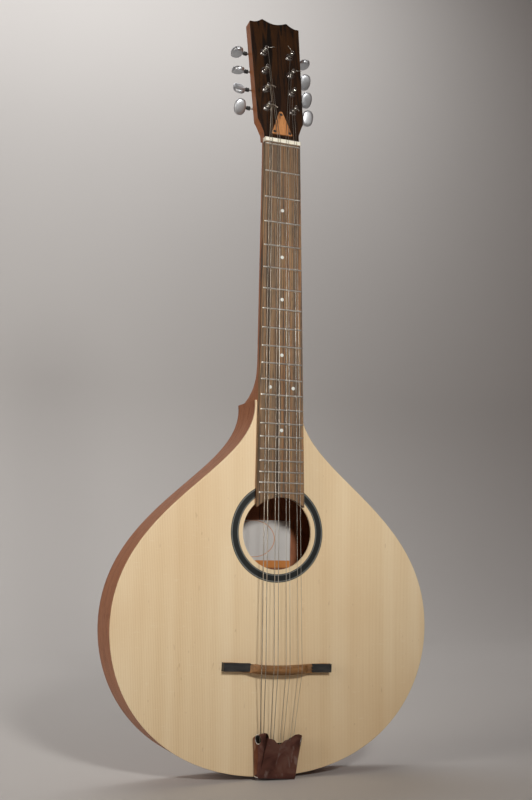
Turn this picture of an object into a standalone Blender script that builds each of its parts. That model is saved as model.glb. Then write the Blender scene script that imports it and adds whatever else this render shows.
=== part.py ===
"""Flat-top bouzouki with four pairs of strings.

It stands upright: +Z runs up the neck, the soundboard faces -Y, and the origin is at the tail, half-way
through the depth of the body. Lengths are metres. Three frames share one rule, place(x, s, d): s is the
distance up from the bridge line and d the depth behind a face. The body frame is upright, the neck frame
leans back by the neck's angle about the joint, and the head frame starts at the nut and leans back further.
"""
import math

import bmesh
import bpy

GAP = 0.0003

# body
SCALE_LENGTH = 0.610
BODY_DEPTH = 0.058
BODY_WIDTH = 0.3854
JOINT_S = SCALE_LENGTH * 2 ** (-13 / 12)
TAIL_TO_BRIDGE = 0.1221
BRIDGE_TO_WIDEST = 0.0423
BRIDGE_TO_TOP = JOINT_S + 0.0115
TOP_WIDTH = 0.058
LOWER_PULL = (0.1286, 0.0832)
UPPER_PULL = 0.138
NECK_PULL = (0.009, 0.081)
CURVE_STEPS = 13
SOUNDBOARD_T = 0.0028
BACK_T = 0.0028
RIB_T = 0.0022
LINING_W = 0.006
LINING_D = 0.012
BLOCK_LENGTH = 0.038
TAIL_BLOCK_HALF = 0.032
TAIL_BLOCK_LENGTH = 0.018
BRACE_W = 0.008
BRACE_H = 0.012
BRACE_TAPER = 0.035

# soundhole, rosette, label and the braces beside the hole
FRETS = 20
BOARD_END_S = SCALE_LENGTH * 2 ** (-FRETS / 12) - 0.0161
BOARD_SCOOP = 0.011
HOLE_R = 0.0424
HOLE_S = BOARD_END_S + BOARD_SCOOP + 0.0026 - HOLE_R
ROSETTE_IN = HOLE_R + 0.0051
ROSETTE_OUT = ROSETTE_IN + 0.0093
ROSETTE_T = 0.0014
TOP_BRACES = (HOLE_S + HOLE_R + 0.0224, HOLE_S - HOLE_R - 0.0228, -0.055)
BACK_BRACES = (HOLE_S + HOLE_R + 0.0154, 0.010)
HOLE_SEGMENTS = 36
LABEL_W = 0.072
LABEL_H = 0.056
LABEL_T = 0.0005
LABEL_X = 0.0035
LABEL_S = HOLE_S - 0.0125

# neck
NECK_ANGLE = math.radians(0.8)
FRET_PLANE = 0.0102
FRET_H = 0.0010
FRET_W = 0.0022
BOARD_T = 0.006
BOARD_D = FRET_H + BOARD_T
BOARD_TOP_W = 0.046
BOARD_END_W = 0.058
TONGUE_INSET = 0.0015
NUT_S = SCALE_LENGTH + 0.0025
NUT_T = 0.005
NUT_RISE = 0.0012
NUT_SLOT = 0.0008
NECK_DEPTH = 0.0135
NECK_DEPTH_LOW = 0.0175
NECK_LOW_S = JOINT_S + 0.072
HEEL_DEPTH = BODY_DEPTH + FRET_PLANE - BOARD_D
HEEL_STEPS = 7
HEEL_REACH = 0.050
SECTION_STEPS = 12

# headstock
HEAD_ANGLE = math.radians(10.0)
HEAD_S = NUT_S + NUT_T + 0.0007
HEAD_STEP = 0.003
HEAD_T = 0.015
HEADPLATE_T = 0.002
HEAD_THROAT_HALF = BOARD_TOP_W / 2 - 0.0005
HEAD_THROAT = 0.011
HEAD_LOW_HALF = 0.0296
HEAD_LOW = 0.0262
HEAD_TOP_HALF = 0.0329
HEAD_PEAK_HALF = 0.0163
HEAD_DIP = 0.0048

# truss rod
ROD_R = 0.0025
ROD_D = 0.0115
ROD_START = JOINT_S + 0.027
TRUSS_NUT_S = SCALE_LENGTH + 0.0175
ROD_END = TRUSS_NUT_S + 0.0090
CHANNEL_HALF = 0.0031
TRUSS_NUT_L = 0.0075
TRUSS_NUT_R = 0.0045
POCKET_HALF = 0.0056
POCKET_S = TRUSS_NUT_S - 0.0025
POCKET_L = 0.0175
POCKET_D = 0.0168
COVER_T = 0.002
COVER_BASE = 0.0055
COVER_TIP = 0.0375
COVER_BASE_HALF = 0.0132
COVER_TIP_HALF = 0.0030
SCREW_R = 0.0011
SCREW_HEAD_R = 0.0019

# tuning machines
POST_X = 0.0172
POST_PITCH = 0.0260
POST_LOW = 0.0410
POST_TOP = POST_LOW + 3 * POST_PITCH
HEAD_TOP = POST_TOP + 0.0435
HEAD_PEAK = HEAD_TOP + 0.0060
POST_R = 0.0025
POST_CAP_R = 0.0027
POST_WAIST_R = 0.0019
POST_RISE = 0.0112
WAIST_LOW = 0.0045
WAIST_HIGH = 0.0088
GEAR_TEETH = 14
GEAR_R = 0.0052
GEAR_ROOT_R = 0.0044
GEAR_T = 0.0036
PLATE_T = 0.001
WORM_R = 0.0019
WORM_ROOT_R = 0.0015
WORM_OFFSET = GEAR_R + WORM_R + GAP
PLATE_D = HEAD_T + GAP
GEAR_D = PLATE_D + PLATE_T + 0.0005
WORM_D = GEAR_D + GEAR_T / 2
SHAFT_R = 0.0011
LUG_T = 0.0012
LUG_OUT = 0.0066
LUG_HALF = 0.0027
COLLAR_R = 0.0022
COLLAR_OUT = 0.0148
COLLAR_L = 0.0045
BUTTON_OUT = 0.0210
BUTTON_L = 0.0140
BUTTON_HALF_W = 0.0100
BUTTON_HALF_T = 0.0033
PLATE_HALF_W = 0.0090
PLATE_MARGIN = 0.0110
# turn of each button about its shaft, 0 lying flat to the headstock, in string order
BUTTON_TURNS = (142, 30, 74, 90, 88, 140, 142, 155)

# bridge
BRIDGE_HALF = 0.0650
BRIDGE_TURN = math.radians(2.0)
BRIDGE_S = -0.0035
BRIDGE_BASE_W = 0.0095
BRIDGE_CROWN_W = 0.0060
BRIDGE_WING_H = 0.0070
BRIDGE_H = 0.0172
BRIDGE_BELLY = 0.0035
VENEER_T = 0.0010
VENEER_LEFT = 0.0290
VENEER_RIGHT = 0.0235
COMPENSATION = (0.0009, -0.0009, 0.0006, -0.0007)

# tailpiece
HANGER_T = 0.0012
HANGER_HALF = 0.0220
HANGER_TOP = -0.0860
HANGER_DROP = 0.030
HOOK_S = -0.0985
HOOK_H = 0.0034
TAIL_COVER_T = 0.0012
TAIL_COVER_LEAN = math.radians(-4.6)
COVER_FOOT_HALF = 0.0232
COVER_FOOT_H = 0.0018
COVER_FLARE = 0.0048
COVER_DOME = 0.0090
CREST_RISE = 0.0050
# where the valley and the crest of each flute lie, from the middle (0) to the edge (1)
VALLEY_T = 0.42
CREST_T = 0.70
# the top edge: a notch in the middle, a lobe, the valley and the flute's rounded end
COVER_TOP = ((0.0, -0.0862), (0.22, -0.0815), (0.36, -0.0803), (VALLEY_T, -0.0808), (0.56, -0.0755),
             (CREST_T, -0.0736), (0.85, -0.0758), (1.0, -0.0811))
EAR_HOLE_R = 0.0047
EAR_HOLE = (0.0250, -0.0818, 0.0090)
EAR_HOLE_TILT = math.radians(66)
TAIL_SCREW_X = 0.012
TAIL_SCREW_D = 0.020
TAIL_SCREW_R = 0.0016
TAIL_SCREW_L = 0.010

# strings, from the lowest pair on the left to the highest on the right
STRING_R = (0.00050, 0.00050, 0.00038, 0.00038, 0.00028, 0.00028, 0.00022, 0.00022)
NUT_COURSE = 0.0106
NUT_PAIR = 0.0028
BRIDGE_COURSE = 0.0147
BRIDGE_PAIR = 0.0048
CROWN_HALF = 1.5 * BRIDGE_COURSE + BRIDGE_PAIR / 2 + 0.0026
SHOULDER_HALF = CROWN_HALF + 0.0060
TAIL_SPREAD = 0.78
COIL_TURNS = 2.25
COIL_STEPS = 9

TAIL_Z = HANGER_T + GAP
BRIDGE_Z = TAIL_Z + TAIL_TO_BRIDGE
FRONT_Y = -BODY_DEPTH / 2
PI = math.pi


# ---------------------------------------------------------------- frames

def body_point(x, s, d):
    return (x, FRONT_Y + d, BRIDGE_Z + s)


def neck_point(x, s, d):
    rise = s - JOINT_S
    y = FRONT_Y - FRET_PLANE + rise * math.sin(NECK_ANGLE) + d * math.cos(NECK_ANGLE)
    z = BRIDGE_Z + JOINT_S + rise * math.cos(NECK_ANGLE) - d * math.sin(NECK_ANGLE)
    return (x, y, z)


def head_point(x, u, d):
    _, y, z = neck_point(0, HEAD_S, HEAD_STEP)
    y += u * math.sin(HEAD_ANGLE) + d * math.cos(HEAD_ANGLE)
    z += u * math.cos(HEAD_ANGLE) - d * math.sin(HEAD_ANGLE)
    return (x, y, z)


def lean_point(x, s, d):
    """The body frame turned by the tailpiece cover's lean about the middle of the tail."""
    rise = s + TAIL_TO_BRIDGE
    c, n = math.cos(TAIL_COVER_LEAN), math.sin(TAIL_COVER_LEAN)
    return body_point(c * x - n * rise - 0.0022, n * x + c * rise - TAIL_TO_BRIDGE, d)


def bridge_point(x, s, d):
    c, n = math.cos(BRIDGE_TURN), math.sin(BRIDGE_TURN)
    return body_point(c * x + n * s, BRIDGE_S + c * s - n * x, d)


# ---------------------------------------------------------------- mesh helpers

def material(name, colour, roughness, metallic=0.0):
    mat = bpy.data.materials.new(name)
    mat.use_nodes = True
    shader = mat.node_tree.nodes["Principled BSDF"]
    shader.inputs["Base Color"].default_value = (*colour, 1.0)
    shader.inputs["Roughness"].default_value = roughness
    shader.inputs["Metallic"].default_value = metallic
    return mat


def finish_mesh(name, bm, mat, smooth=False):
    bmesh.ops.recalc_face_normals(bm, faces=bm.faces)
    mesh = bpy.data.meshes.new(name)
    bm.to_mesh(mesh)
    bm.free()
    if smooth:
        mesh.shade_smooth()
        mesh.set_sharp_from_angle(angle=math.radians(35))
    obj = bpy.data.objects.new(name, mesh)
    bpy.context.scene.collection.objects.link(obj)
    if mat:
        mesh.materials.append(mat)
    return obj


def skin(name, loops, mat, smooth=False):
    """Joins loops of equal count into one closed skin with flat ends."""
    bm = bmesh.new()
    rings = [[bm.verts.new(p) for p in loop] for loop in loops]
    count = len(loops[0])
    for low, high in zip(rings, rings[1:]):
        for i in range(count):
            j = (i + 1) % count
            bm.faces.new((low[i], low[j], high[j], high[i]))
    bm.faces.new(rings[0][::-1])
    bm.faces.new(rings[-1])
    return finish_mesh(name, bm, mat, smooth)


def prism(name, outline, place, near, far, mat, smooth=False):
    """A plate of the outline (x, s), between the depths near and far of a frame."""
    loops = [[place(x, s, d) for x, s in outline] for d in (near, far)]
    return skin(name, loops, mat, smooth)


def bar(name, profile, place, low, high, mat):
    """A bar along x with the profile (s, d)."""
    loops = [[place(x, s, d) for s, d in profile] for x in (low, high)]
    return skin(name, loops, mat)


def ring(name, place, centre, inner, outer, near, far, mat, segments=HOLE_SEGMENTS):
    bm = bmesh.new()
    loops = []
    for r, d in ((inner, near), (outer, near), (outer, far), (inner, far)):
        circle = disc(centre, r, segments)
        loops.append([bm.verts.new(place(x, s, d)) for x, s in circle])
    for k in range(4):
        a, b = loops[k], loops[(k + 1) % 4]
        for i in range(segments):
            j = (i + 1) % segments
            bm.faces.new((a[i], a[j], b[j], b[i]))
    return finish_mesh(name, bm, mat, True)


def disc(centre, r, segments, start=0.0):
    cx, cs = centre
    angles = [start + 2 * PI * i / segments for i in range(segments)]
    return [(cx + r * math.cos(a), cs + r * math.sin(a)) for a in angles]


def turned(name, place, centre, profile, mat, segments=12):
    """A turned piece on an axis along d: profile is (radius, depth) from one end to the other."""
    loops = [[place(x, s, d) for x, s in disc(centre, r, segments)] for r, d in profile]
    return skin(name, loops, mat, True)


def box_outline(low_x, high_x, low_s, high_s):
    return [(low_x, low_s), (high_x, low_s), (high_x, high_s), (low_x, high_s)]


def hide(cutter):
    cutter.hide_render = True
    cutter.display_type = "WIRE"
    return cutter


def boolean(obj, other, operation="DIFFERENCE"):
    change = obj.modifiers.new(operation.title() + " " + other.name, "BOOLEAN")
    change.operation = operation
    change.object = hide(other)
    return obj


def drill(objs, place, centre, r, near, far, segments=12):
    cutter = prism("Drill", disc(centre, r, segments), place, near, far, None)
    for obj in objs:
        boolean(obj, cutter)


def mirrored(outline):
    """Closes a half outline, given upward on the +x side, with its mirror image."""
    return outline + [(-x, s) for x, s in reversed(outline) if x > 1e-6]


def set_origin(obj, point):
    """Moves the object's origin to a point and leaves its surface where it is."""
    for vert in obj.data.vertices:
        vert.co.x -= point[0]
        vert.co.y -= point[1]
        vert.co.z -= point[2]
    obj.location = point


# ---------------------------------------------------------------- body

def bezier(a, b, c, d, t):
    u = 1 - t
    weights = (u * u * u, 3 * u * u * t, 3 * u * t * t, t * t * t)
    return tuple(sum(w * p[k] for w, p in zip(weights, (a, b, c, d))) for k in (0, 1))


def side_curve(inset, steps=CURVE_STEPS):
    """The body's edge from the tail to the neck on the +x side, moved inward by inset."""
    half = BODY_WIDTH / 2
    tail, widest, top = -TAIL_TO_BRIDGE, BRIDGE_TO_WIDEST, BRIDGE_TO_TOP
    low = ((0, tail), (LOWER_PULL[0], tail), (half, widest - LOWER_PULL[1]), (half, widest))
    end = TOP_WIDTH / 2
    lean = (end - NECK_PULL[0], top - NECK_PULL[1])
    high = ((half, widest), (half, widest + UPPER_PULL), lean, (end, top))
    fine = [bezier(*low, k / steps) for k in range(steps)]
    fine += [bezier(*high, k / steps) for k in range(steps + 1)]
    points = []
    for k, (x, s) in enumerate(fine):
        before, after = fine[max(k - 1, 0)], fine[min(k + 1, len(fine) - 1)]
        run = (after[0] - before[0], after[1] - before[1])
        if k == 0:
            run = (1, 0)
        length = math.hypot(*run)
        points.append((x - inset * run[1] / length, s + inset * run[0] / length))
    points[-1] = (points[-1][0], top)
    return points


def width_at(s, inset):
    curve = side_curve(inset)
    for (x0, s0), (x1, s1) in zip(curve, curve[1:]):
        if s0 <= s <= s1:
            return x0 + (x1 - x0) * (s - s0) / (s1 - s0)
    return 0.0


def flip(outline, side):
    return [(side * x, s) for x, s in outline]


def rib(side, name, mat):
    outer, inner = side_curve(0.0), side_curve(RIB_T)
    outer[0] = (GAP / 2, outer[0][1])
    inner[0] = (GAP / 2, inner[0][1])
    outline = flip(outer + inner[::-1], side)
    near, far = SOUNDBOARD_T + GAP, BODY_DEPTH - BACK_T - GAP
    return prism(name, outline, body_point, near, far, mat, True)


def lining(side, name, near, far, mat):
    outer, inner = side_curve(RIB_T + GAP), side_curve(RIB_T + GAP + LINING_W)
    top = BRIDGE_TO_TOP - BLOCK_LENGTH - 2 * GAP

    def kept(curve):
        return [p for p in curve if p[0] > TAIL_BLOCK_HALF + GAP and p[1] < top]

    outline = flip(kept(outer) + kept(inner)[::-1], side)
    return prism(name, outline, body_point, near, far, mat)


def brace(name, s, near, height, mat):
    """A bar across the inside, feathered at its ends. height is negative on the back."""
    inset = RIB_T + LINING_W + 3 * GAP
    half = min(width_at(s - BRACE_W / 2, inset), width_at(s + BRACE_W / 2, inset))
    thin = height / 4
    profile = [(-half, near), (half, near), (half, near + thin), (half - BRACE_TAPER, near + height),
               (BRACE_TAPER - half, near + height), (-half, near + thin)]
    loops = [[body_point(x, row, d) for x, d in profile] for row in (s - BRACE_W / 2, s + BRACE_W / 2)]
    return skin(name, loops, mat)


def blocks(mat):
    near, far = SOUNDBOARD_T + GAP, BODY_DEPTH - BACK_T - GAP
    low = BRIDGE_TO_TOP - BLOCK_LENGTH
    inset = RIB_T + GAP
    curve = [p for p in side_curve(inset, 40) if p[1] > low]
    # the block is a straight one that fits the narrowest place between the ribs
    half = min(x for x, _ in curve)
    prism("neck_block", box_outline(-half, half, low, BRIDGE_TO_TOP), body_point, near, far, mat)
    foot = [p for p in side_curve(inset) if p[0] < TAIL_BLOCK_HALF and p[1] < 0]
    edge = -TAIL_TO_BRIDGE + inset + 0.0035
    foot += [(TAIL_BLOCK_HALF, edge), (TAIL_BLOCK_HALF, edge + TAIL_BLOCK_LENGTH)]
    prism("tail_block", mirrored(foot), body_point, near, far, mat)


def soundboard(mat, ring_mat):
    board = prism("soundboard", mirrored(side_curve(0.0)), body_point, 0, SOUNDBOARD_T, mat)
    centre = (0.0, HOLE_S)
    drill([board], body_point, centre, HOLE_R, -0.01, 0.01, HOLE_SEGMENTS)
    groove = ring("Groove", body_point, centre, ROSETTE_IN - GAP, ROSETTE_OUT + GAP, -0.01,
                  ROSETTE_T + GAP, None)
    boolean(board, groove)
    ring("rosette", body_point, centre, ROSETTE_IN, ROSETTE_OUT, 0, ROSETTE_T, ring_mat)


def body(wood):
    soundboard(wood["spruce"], wood["rosette"])
    prism("back", mirrored(side_curve(0.0)), body_point, BODY_DEPTH - BACK_T, BODY_DEPTH, wood["mahogany"])
    inside = (SOUNDBOARD_T + GAP, BODY_DEPTH - BACK_T - GAP)
    for side, word in ((-1, "left"), (1, "right")):
        rib(side, "rib_" + word, wood["mahogany"])
        front = (inside[0], inside[0] + LINING_D)
        rear = (inside[1] - LINING_D, inside[1])
        lining(side, "lining_front_" + word, *front, wood["lining"])
        lining(side, "lining_back_" + word, *rear, wood["lining"])
    blocks(wood["lining"])
    for number, s in enumerate(TOP_BRACES, 1):
        brace(f"top_brace_{number}", s, inside[0], BRACE_H, wood["lining"])
    for number, s in enumerate(BACK_BRACES, 1):
        brace(f"back_brace_{number}", s, inside[1], -BRACE_H, wood["lining"])
    sheet = box_outline(LABEL_X - LABEL_W / 2, LABEL_X + LABEL_W / 2,
                        LABEL_S - LABEL_H / 2, LABEL_S + LABEL_H / 2)
    prism("label", sheet, body_point, inside[1] - LABEL_T, inside[1], wood["paper"])


# ---------------------------------------------------------------- neck

def board_half(s):
    along = (NUT_S - s) / (NUT_S - BOARD_END_S)
    return (BOARD_TOP_W + (BOARD_END_W - BOARD_TOP_W) * along) / 2


def fret_s(number):
    return SCALE_LENGTH * 2 ** (-number / 12)


def board_profile():
    """The fingerboard from the side, (s, d), with a low ridge at each fret."""
    top = FRET_H
    profile = [(BOARD_END_S, BOARD_D), (BOARD_END_S, top)]
    for number in range(FRETS, -1, -1):
        s = fret_s(number)
        profile += [(s - FRET_W / 2, top), (s - FRET_W / 4, 0.0)]
        profile += [(s + FRET_W / 4, 0.0), (s + FRET_W / 2, top)]
    return profile + [(NUT_S - GAP, top), (NUT_S - GAP, BOARD_D)]


def scoop_circle():
    """Centre and radius of the concave end, an arc through both corners and the scoop's middle."""
    half = board_half(BOARD_END_S)
    radius = (half * half + BOARD_SCOOP * BOARD_SCOOP) / (2 * BOARD_SCOOP)
    return (0.0, BOARD_END_S + BOARD_SCOOP - radius), radius


def fingerboard(mat):
    profile = board_profile()
    loops = []
    for side in (-1, 1):
        loops.append([neck_point(side * board_half(s), s, d) for s, d in profile])
    board = skin("fingerboard", loops, mat)
    centre, radius = scoop_circle()
    drill([board], neck_point, centre, radius, -0.01, 0.02, 64)


def neck_section(s, depth):
    """A flat top and a rounded underside, squarer where the heel is deep."""
    half = board_half(min(s, NUT_S))
    power = 0.75 - 0.50 * (depth - NECK_DEPTH_LOW) / (HEEL_DEPTH - NECK_DEPTH_LOW)
    power = min(power, 0.75)
    points = []
    for k in range(SECTION_STEPS + 1):
        t = PI * k / SECTION_STEPS
        x = half * math.copysign(abs(math.cos(t)) ** power, math.cos(t))
        points.append(neck_point(x, s, BOARD_D + GAP + depth * math.sin(t) ** power))
    return points


def neck_depth(s):
    """Depth of the neck under the fingerboard, with the heel's hollow sweep down to the back."""
    along = (NUT_S - s) / (NUT_S - NECK_LOW_S)
    plain = NECK_DEPTH + (NECK_DEPTH_LOW - NECK_DEPTH) * min(along, 1.0)
    foot = BRIDGE_TO_TOP + GAP
    near = max(0.0, 1 - (s - foot) / HEEL_REACH)
    return plain + (HEEL_DEPTH - GAP - plain) * near ** 2.6


def neck_shaft(mat):
    foot = BRIDGE_TO_TOP - 0.002
    rows = [foot + HEEL_REACH * (k / HEEL_STEPS) ** 1.3 for k in range(HEEL_STEPS + 1)]
    rows += [NECK_LOW_S + 0.02, 0.45, 0.55, HEAD_S + 0.002]
    return skin("neck", [neck_section(s, neck_depth(max(s, BRIDGE_TO_TOP))) for s in rows], mat, True)


def head_half_outline():
    """The headstock's +x half from the nut up to the dip in the middle of its top."""
    points = [(HEAD_THROAT_HALF, 0.0), (HEAD_THROAT_HALF, HEAD_THROAT - 0.004),
              (HEAD_THROAT_HALF + 0.0012, HEAD_THROAT), (HEAD_LOW_HALF - 0.0012, HEAD_LOW - 0.003),
              (HEAD_LOW_HALF, HEAD_LOW), (HEAD_TOP_HALF, HEAD_TOP)]
    for k in range(1, 4):
        t = k / 4
        sag = 0.0022 * math.sin(PI * t)
        x = HEAD_TOP_HALF + (HEAD_PEAK_HALF - HEAD_TOP_HALF) * t
        points.append((x, HEAD_TOP + (HEAD_PEAK - HEAD_TOP) * t - sag))
    for k in range(5):
        t = k / 4
        x = HEAD_PEAK_HALF * (1 - t)
        points.append((x, HEAD_PEAK - HEAD_DIP * math.sin(PI * t / 2)))
    return points


def post_places():
    """(side, x, u) of each string's post: the outer pairs take the low posts."""
    order = [(-1, 3), (-1, 2), (-1, 1), (-1, 0), (1, 0), (1, 1), (1, 2), (1, 3)]
    return [(side, side * POST_X, POST_TOP - POST_PITCH * row) for side, row in order]


def neck(mat, plate_mat):
    shaft = neck_shaft(mat)
    outline = mirrored(head_half_outline())
    core = prism("Head core", outline, head_point, HEADPLATE_T + GAP, HEAD_T, None)
    boolean(shaft, core, "UNION")
    tongue = [(board_half(s) - TONGUE_INSET, s) for s in (BOARD_END_S + TONGUE_INSET, BRIDGE_TO_TOP + 0.01)]
    tongue = prism("Tongue", mirrored(tongue), neck_point, BOARD_D + GAP, 0.020, None)
    boolean(shaft, tongue, "UNION")
    under = box_outline(-0.1, 0.1, 0.0, BRIDGE_TO_TOP + GAP)
    boolean(shaft, prism("Body room", under, body_point, -GAP, 0.1, None))
    centre, radius = scoop_circle()
    drill([shaft], neck_point, centre, radius + TONGUE_INSET, 0.0, 0.03, 64)
    seat = box_outline(-0.03, 0.03, NUT_S - 0.003, NUT_S + NUT_T + GAP)
    boolean(shaft, prism("Nut seat", seat, neck_point, -0.01, BOARD_D + GAP, None))
    channel = box_outline(-CHANNEL_HALF, CHANNEL_HALF, ROD_START - GAP, POCKET_S + 0.002)
    boolean(shaft, prism("Rod channel", channel, neck_point, BOARD_D - 0.0004, ROD_D + CHANNEL_HALF, None))
    plate = prism("headplate", outline, head_point, 0, HEADPLATE_T, plate_mat)
    window = box_outline(-POCKET_HALF, POCKET_HALF, POCKET_S, POCKET_S + POCKET_L)
    pocket = prism("Rod pocket", window, neck_point, -0.004, POCKET_D, None)
    for wood in (shaft, plate):
        boolean(wood, pocket)
    for _, x, u in post_places():
        drill([shaft, plate], head_point, (x, u), POST_R + GAP, -0.002, HEAD_T + 0.002)
    return plate


def nut(mat):
    """A bone bar with a slot for each string."""
    half = BOARD_TOP_W / 2
    low, high = BOARD_D, -NUT_RISE
    points = [(-half, low), (half, low), (half, high + 0.0006), (half - 0.0008, high)]
    for x, r in reversed(list(zip(string_xs(NUT_COURSE, NUT_PAIR), STRING_R))):
        wide = r + GAP
        points += [(x + wide, high), (x + wide, NUT_SLOT - 0.0006)]
        points += [(x - wide, NUT_SLOT - 0.0006), (x - wide, high)]
    points += [(0.0008 - half, high), (-half, high + 0.0006)]
    loops = [[neck_point(x, s, d) for x, d in points] for s in (NUT_S, NUT_S + NUT_T)]
    skin("nut", loops, mat)


def truss_rod(steel, brass):
    def rod_loop(s, r, sides, turn=0.0):
        return [neck_point(x, s, ROD_D + d) for x, d in disc((0, 0), r, sides, turn)]

    skin("truss_rod", [rod_loop(s, ROD_R, 12) for s in (ROD_START, ROD_END)], steel, True)
    ends = (TRUSS_NUT_S, TRUSS_NUT_S + TRUSS_NUT_L)
    hexagon = skin("truss_nut", [rod_loop(s, TRUSS_NUT_R, 6) for s in ends], brass)
    reach = (ends[0] - 0.01, ends[1] + 0.01)
    boolean(hexagon, skin("Rod room", [rod_loop(s, ROD_R + GAP, 12) for s in reach], None))
    set_origin(hexagon, neck_point(0, ends[0], ROD_D))


def truss_cover(mat, black, plate):
    tip = [(COVER_TIP_HALF * math.cos(a), COVER_TIP - COVER_TIP_HALF * (1 - math.sin(a)))
           for a in (0, PI / 6, PI / 3, PI / 2)]
    base = [(COVER_BASE_HALF - 0.001, COVER_BASE), (COVER_BASE_HALF, COVER_BASE + 0.001)]
    cover = prism("truss_cover", mirrored(base + tip), head_point, -GAP - COVER_T, -GAP, mat)
    for number, (x, u) in enumerate(((0.0, COVER_TIP - 0.0045), (-0.0099, 0.0086), (0.0099, 0.0086)), 1):
        drill([cover, plate], head_point, (x, u), SCREW_R + GAP, -0.006, HEADPLATE_T + 0.0002, 8)
        top = -GAP - COVER_T - GAP
        profile = [(SCREW_HEAD_R * 0.7, top - 0.0009), (SCREW_HEAD_R, top - 0.0004), (SCREW_HEAD_R, top),
                   (SCREW_R, top), (SCREW_R, HEADPLATE_T - 0.0003)]
        turned(f"cover_screw_{number}", head_point, (x, u), profile, black, 10)


# ---------------------------------------------------------------- tuning machines

def string_post(number, x, u, mat):
    back = GEAR_D + GEAR_T
    profile = [(POST_CAP_R * 0.8, -POST_RISE), (POST_CAP_R, -POST_RISE + 0.0006),
               (POST_CAP_R, -WAIST_HIGH - 0.0008), (POST_WAIST_R, -WAIST_HIGH), (POST_WAIST_R, -WAIST_LOW),
               (POST_R, -WAIST_LOW + 0.0008), (POST_R, back + 0.0002), (POST_R * 0.7, back + 0.0010)]
    post = turned(f"string_post_{number}", head_point, (x, u), profile, mat)
    teeth = []
    for k in range(2 * GEAR_TEETH):
        r = GEAR_R if k % 2 else GEAR_ROOT_R
        angle = PI * k / GEAR_TEETH
        teeth.append((x + r * math.cos(angle), u + r * math.sin(angle)))
    gear = prism("Gear", teeth, head_point, GEAR_D, back, None)
    boolean(post, gear, "UNION")
    set_origin(post, head_point(x, u, 0))


def button_loops():
    """(distance out, half width, half thickness) through the oval button."""
    loops = []
    for k in range(7):
        t = -0.96 + 1.92 * k / 6
        round_off = (1 - abs(t) ** 2.4) ** (1 / 2.4)
        out = BUTTON_OUT + BUTTON_L * (t + 1) / 2
        loops.append((out, BUTTON_HALF_W * max(round_off, 0.3), BUTTON_HALF_T * (0.55 + 0.45 * round_off)))
    return loops


def tuner_key(number, side, x, u, turn, mat):
    """The worm, its shaft, the collar and the button, on one axis across the headstock."""
    stations = [(-LUG_OUT - LUG_T, SHAFT_R, SHAFT_R), (-0.0046, SHAFT_R, SHAFT_R)]
    for k in range(7):
        r = WORM_ROOT_R if k % 2 else WORM_R
        stations.append((-0.0045 + 0.0015 * k, r, r))
    stations += [(0.0046, SHAFT_R, SHAFT_R), (COLLAR_OUT, SHAFT_R, SHAFT_R)]
    stations += [(COLLAR_OUT, COLLAR_R, COLLAR_R), (COLLAR_OUT + COLLAR_L, COLLAR_R, COLLAR_R)]
    stations += [(COLLAR_OUT + COLLAR_L, 0.0015, 0.0015)]
    stations += button_loops()
    loops = []
    for out, wide, thick in stations:
        loop = []
        for k in range(10):
            a = 2 * PI * k / 10
            p, q = wide * math.cos(a), thick * math.sin(a)
            v = p * math.cos(turn) - q * math.sin(turn)
            w = p * math.sin(turn) + q * math.cos(turn)
            loop.append(head_point(x + side * out, u + WORM_OFFSET + v, WORM_D + w))
        loops.append(loop)
    key = skin(f"tuner_key_{number}", loops, mat, True)
    set_origin(key, head_point(x, u + WORM_OFFSET, WORM_D))


def tuner_plate(side, word, mat):
    x = side * POST_X
    low, high = POST_TOP - 3 * POST_PITCH - PLATE_MARGIN, POST_TOP + PLATE_MARGIN + 0.003
    outline = box_outline(x - PLATE_HALF_W, x + PLATE_HALF_W, low, high)
    plate = prism("tuner_plate_" + word, outline, head_point, PLATE_D, PLATE_D + PLATE_T, mat)
    for row in range(4):
        u = POST_TOP - POST_PITCH * row
        for out in (-LUG_OUT, LUG_OUT):
            foot = box_outline(x + out - LUG_T / 2, x + out + LUG_T / 2,
                               u + WORM_OFFSET - LUG_HALF, u + WORM_OFFSET + LUG_HALF)
            lug = prism("Lug", foot, head_point, PLATE_D + PLATE_T / 2, WORM_D + LUG_HALF, None)
            boolean(plate, lug, "UNION")
        axle = [(u + WORM_OFFSET + a, WORM_D + b) for a, b in disc((0, 0), SHAFT_R + GAP, 10)]
        boolean(plate, bar("Axle room", axle, head_point, x - 0.012, x + 0.012, None))
        drill([plate], head_point, (x, u), POST_R + GAP, PLATE_D - 0.001, PLATE_D + 0.002)


def machines(metal, silver):
    tuner_plate(-1, "left", metal)
    tuner_plate(1, "right", metal)
    for number, (side, x, u) in enumerate(post_places(), 1):
        string_post(number, x, u, metal)
        turn = math.radians(BUTTON_TURNS[number - 1])
        tuner_key(number, side, x, u, turn, silver)


# ---------------------------------------------------------------- bridge and tailpiece

def bridge_height(x):
    """Height above the soundboard: low wings, a rounded shoulder and a level crown."""
    across = (SHOULDER_HALF - abs(x)) / (SHOULDER_HALF - CROWN_HALF)
    step = max(0.0, min(1.0, across))
    return BRIDGE_WING_H + (BRIDGE_H - BRIDGE_WING_H) * math.sin(PI * step / 2)


def bridge_belly(x):
    """How far the middle of the bridge bows down toward the tail."""
    return BRIDGE_BELLY * max(0.0, 1 - (x / SHOULDER_HALF) ** 2)


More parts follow.
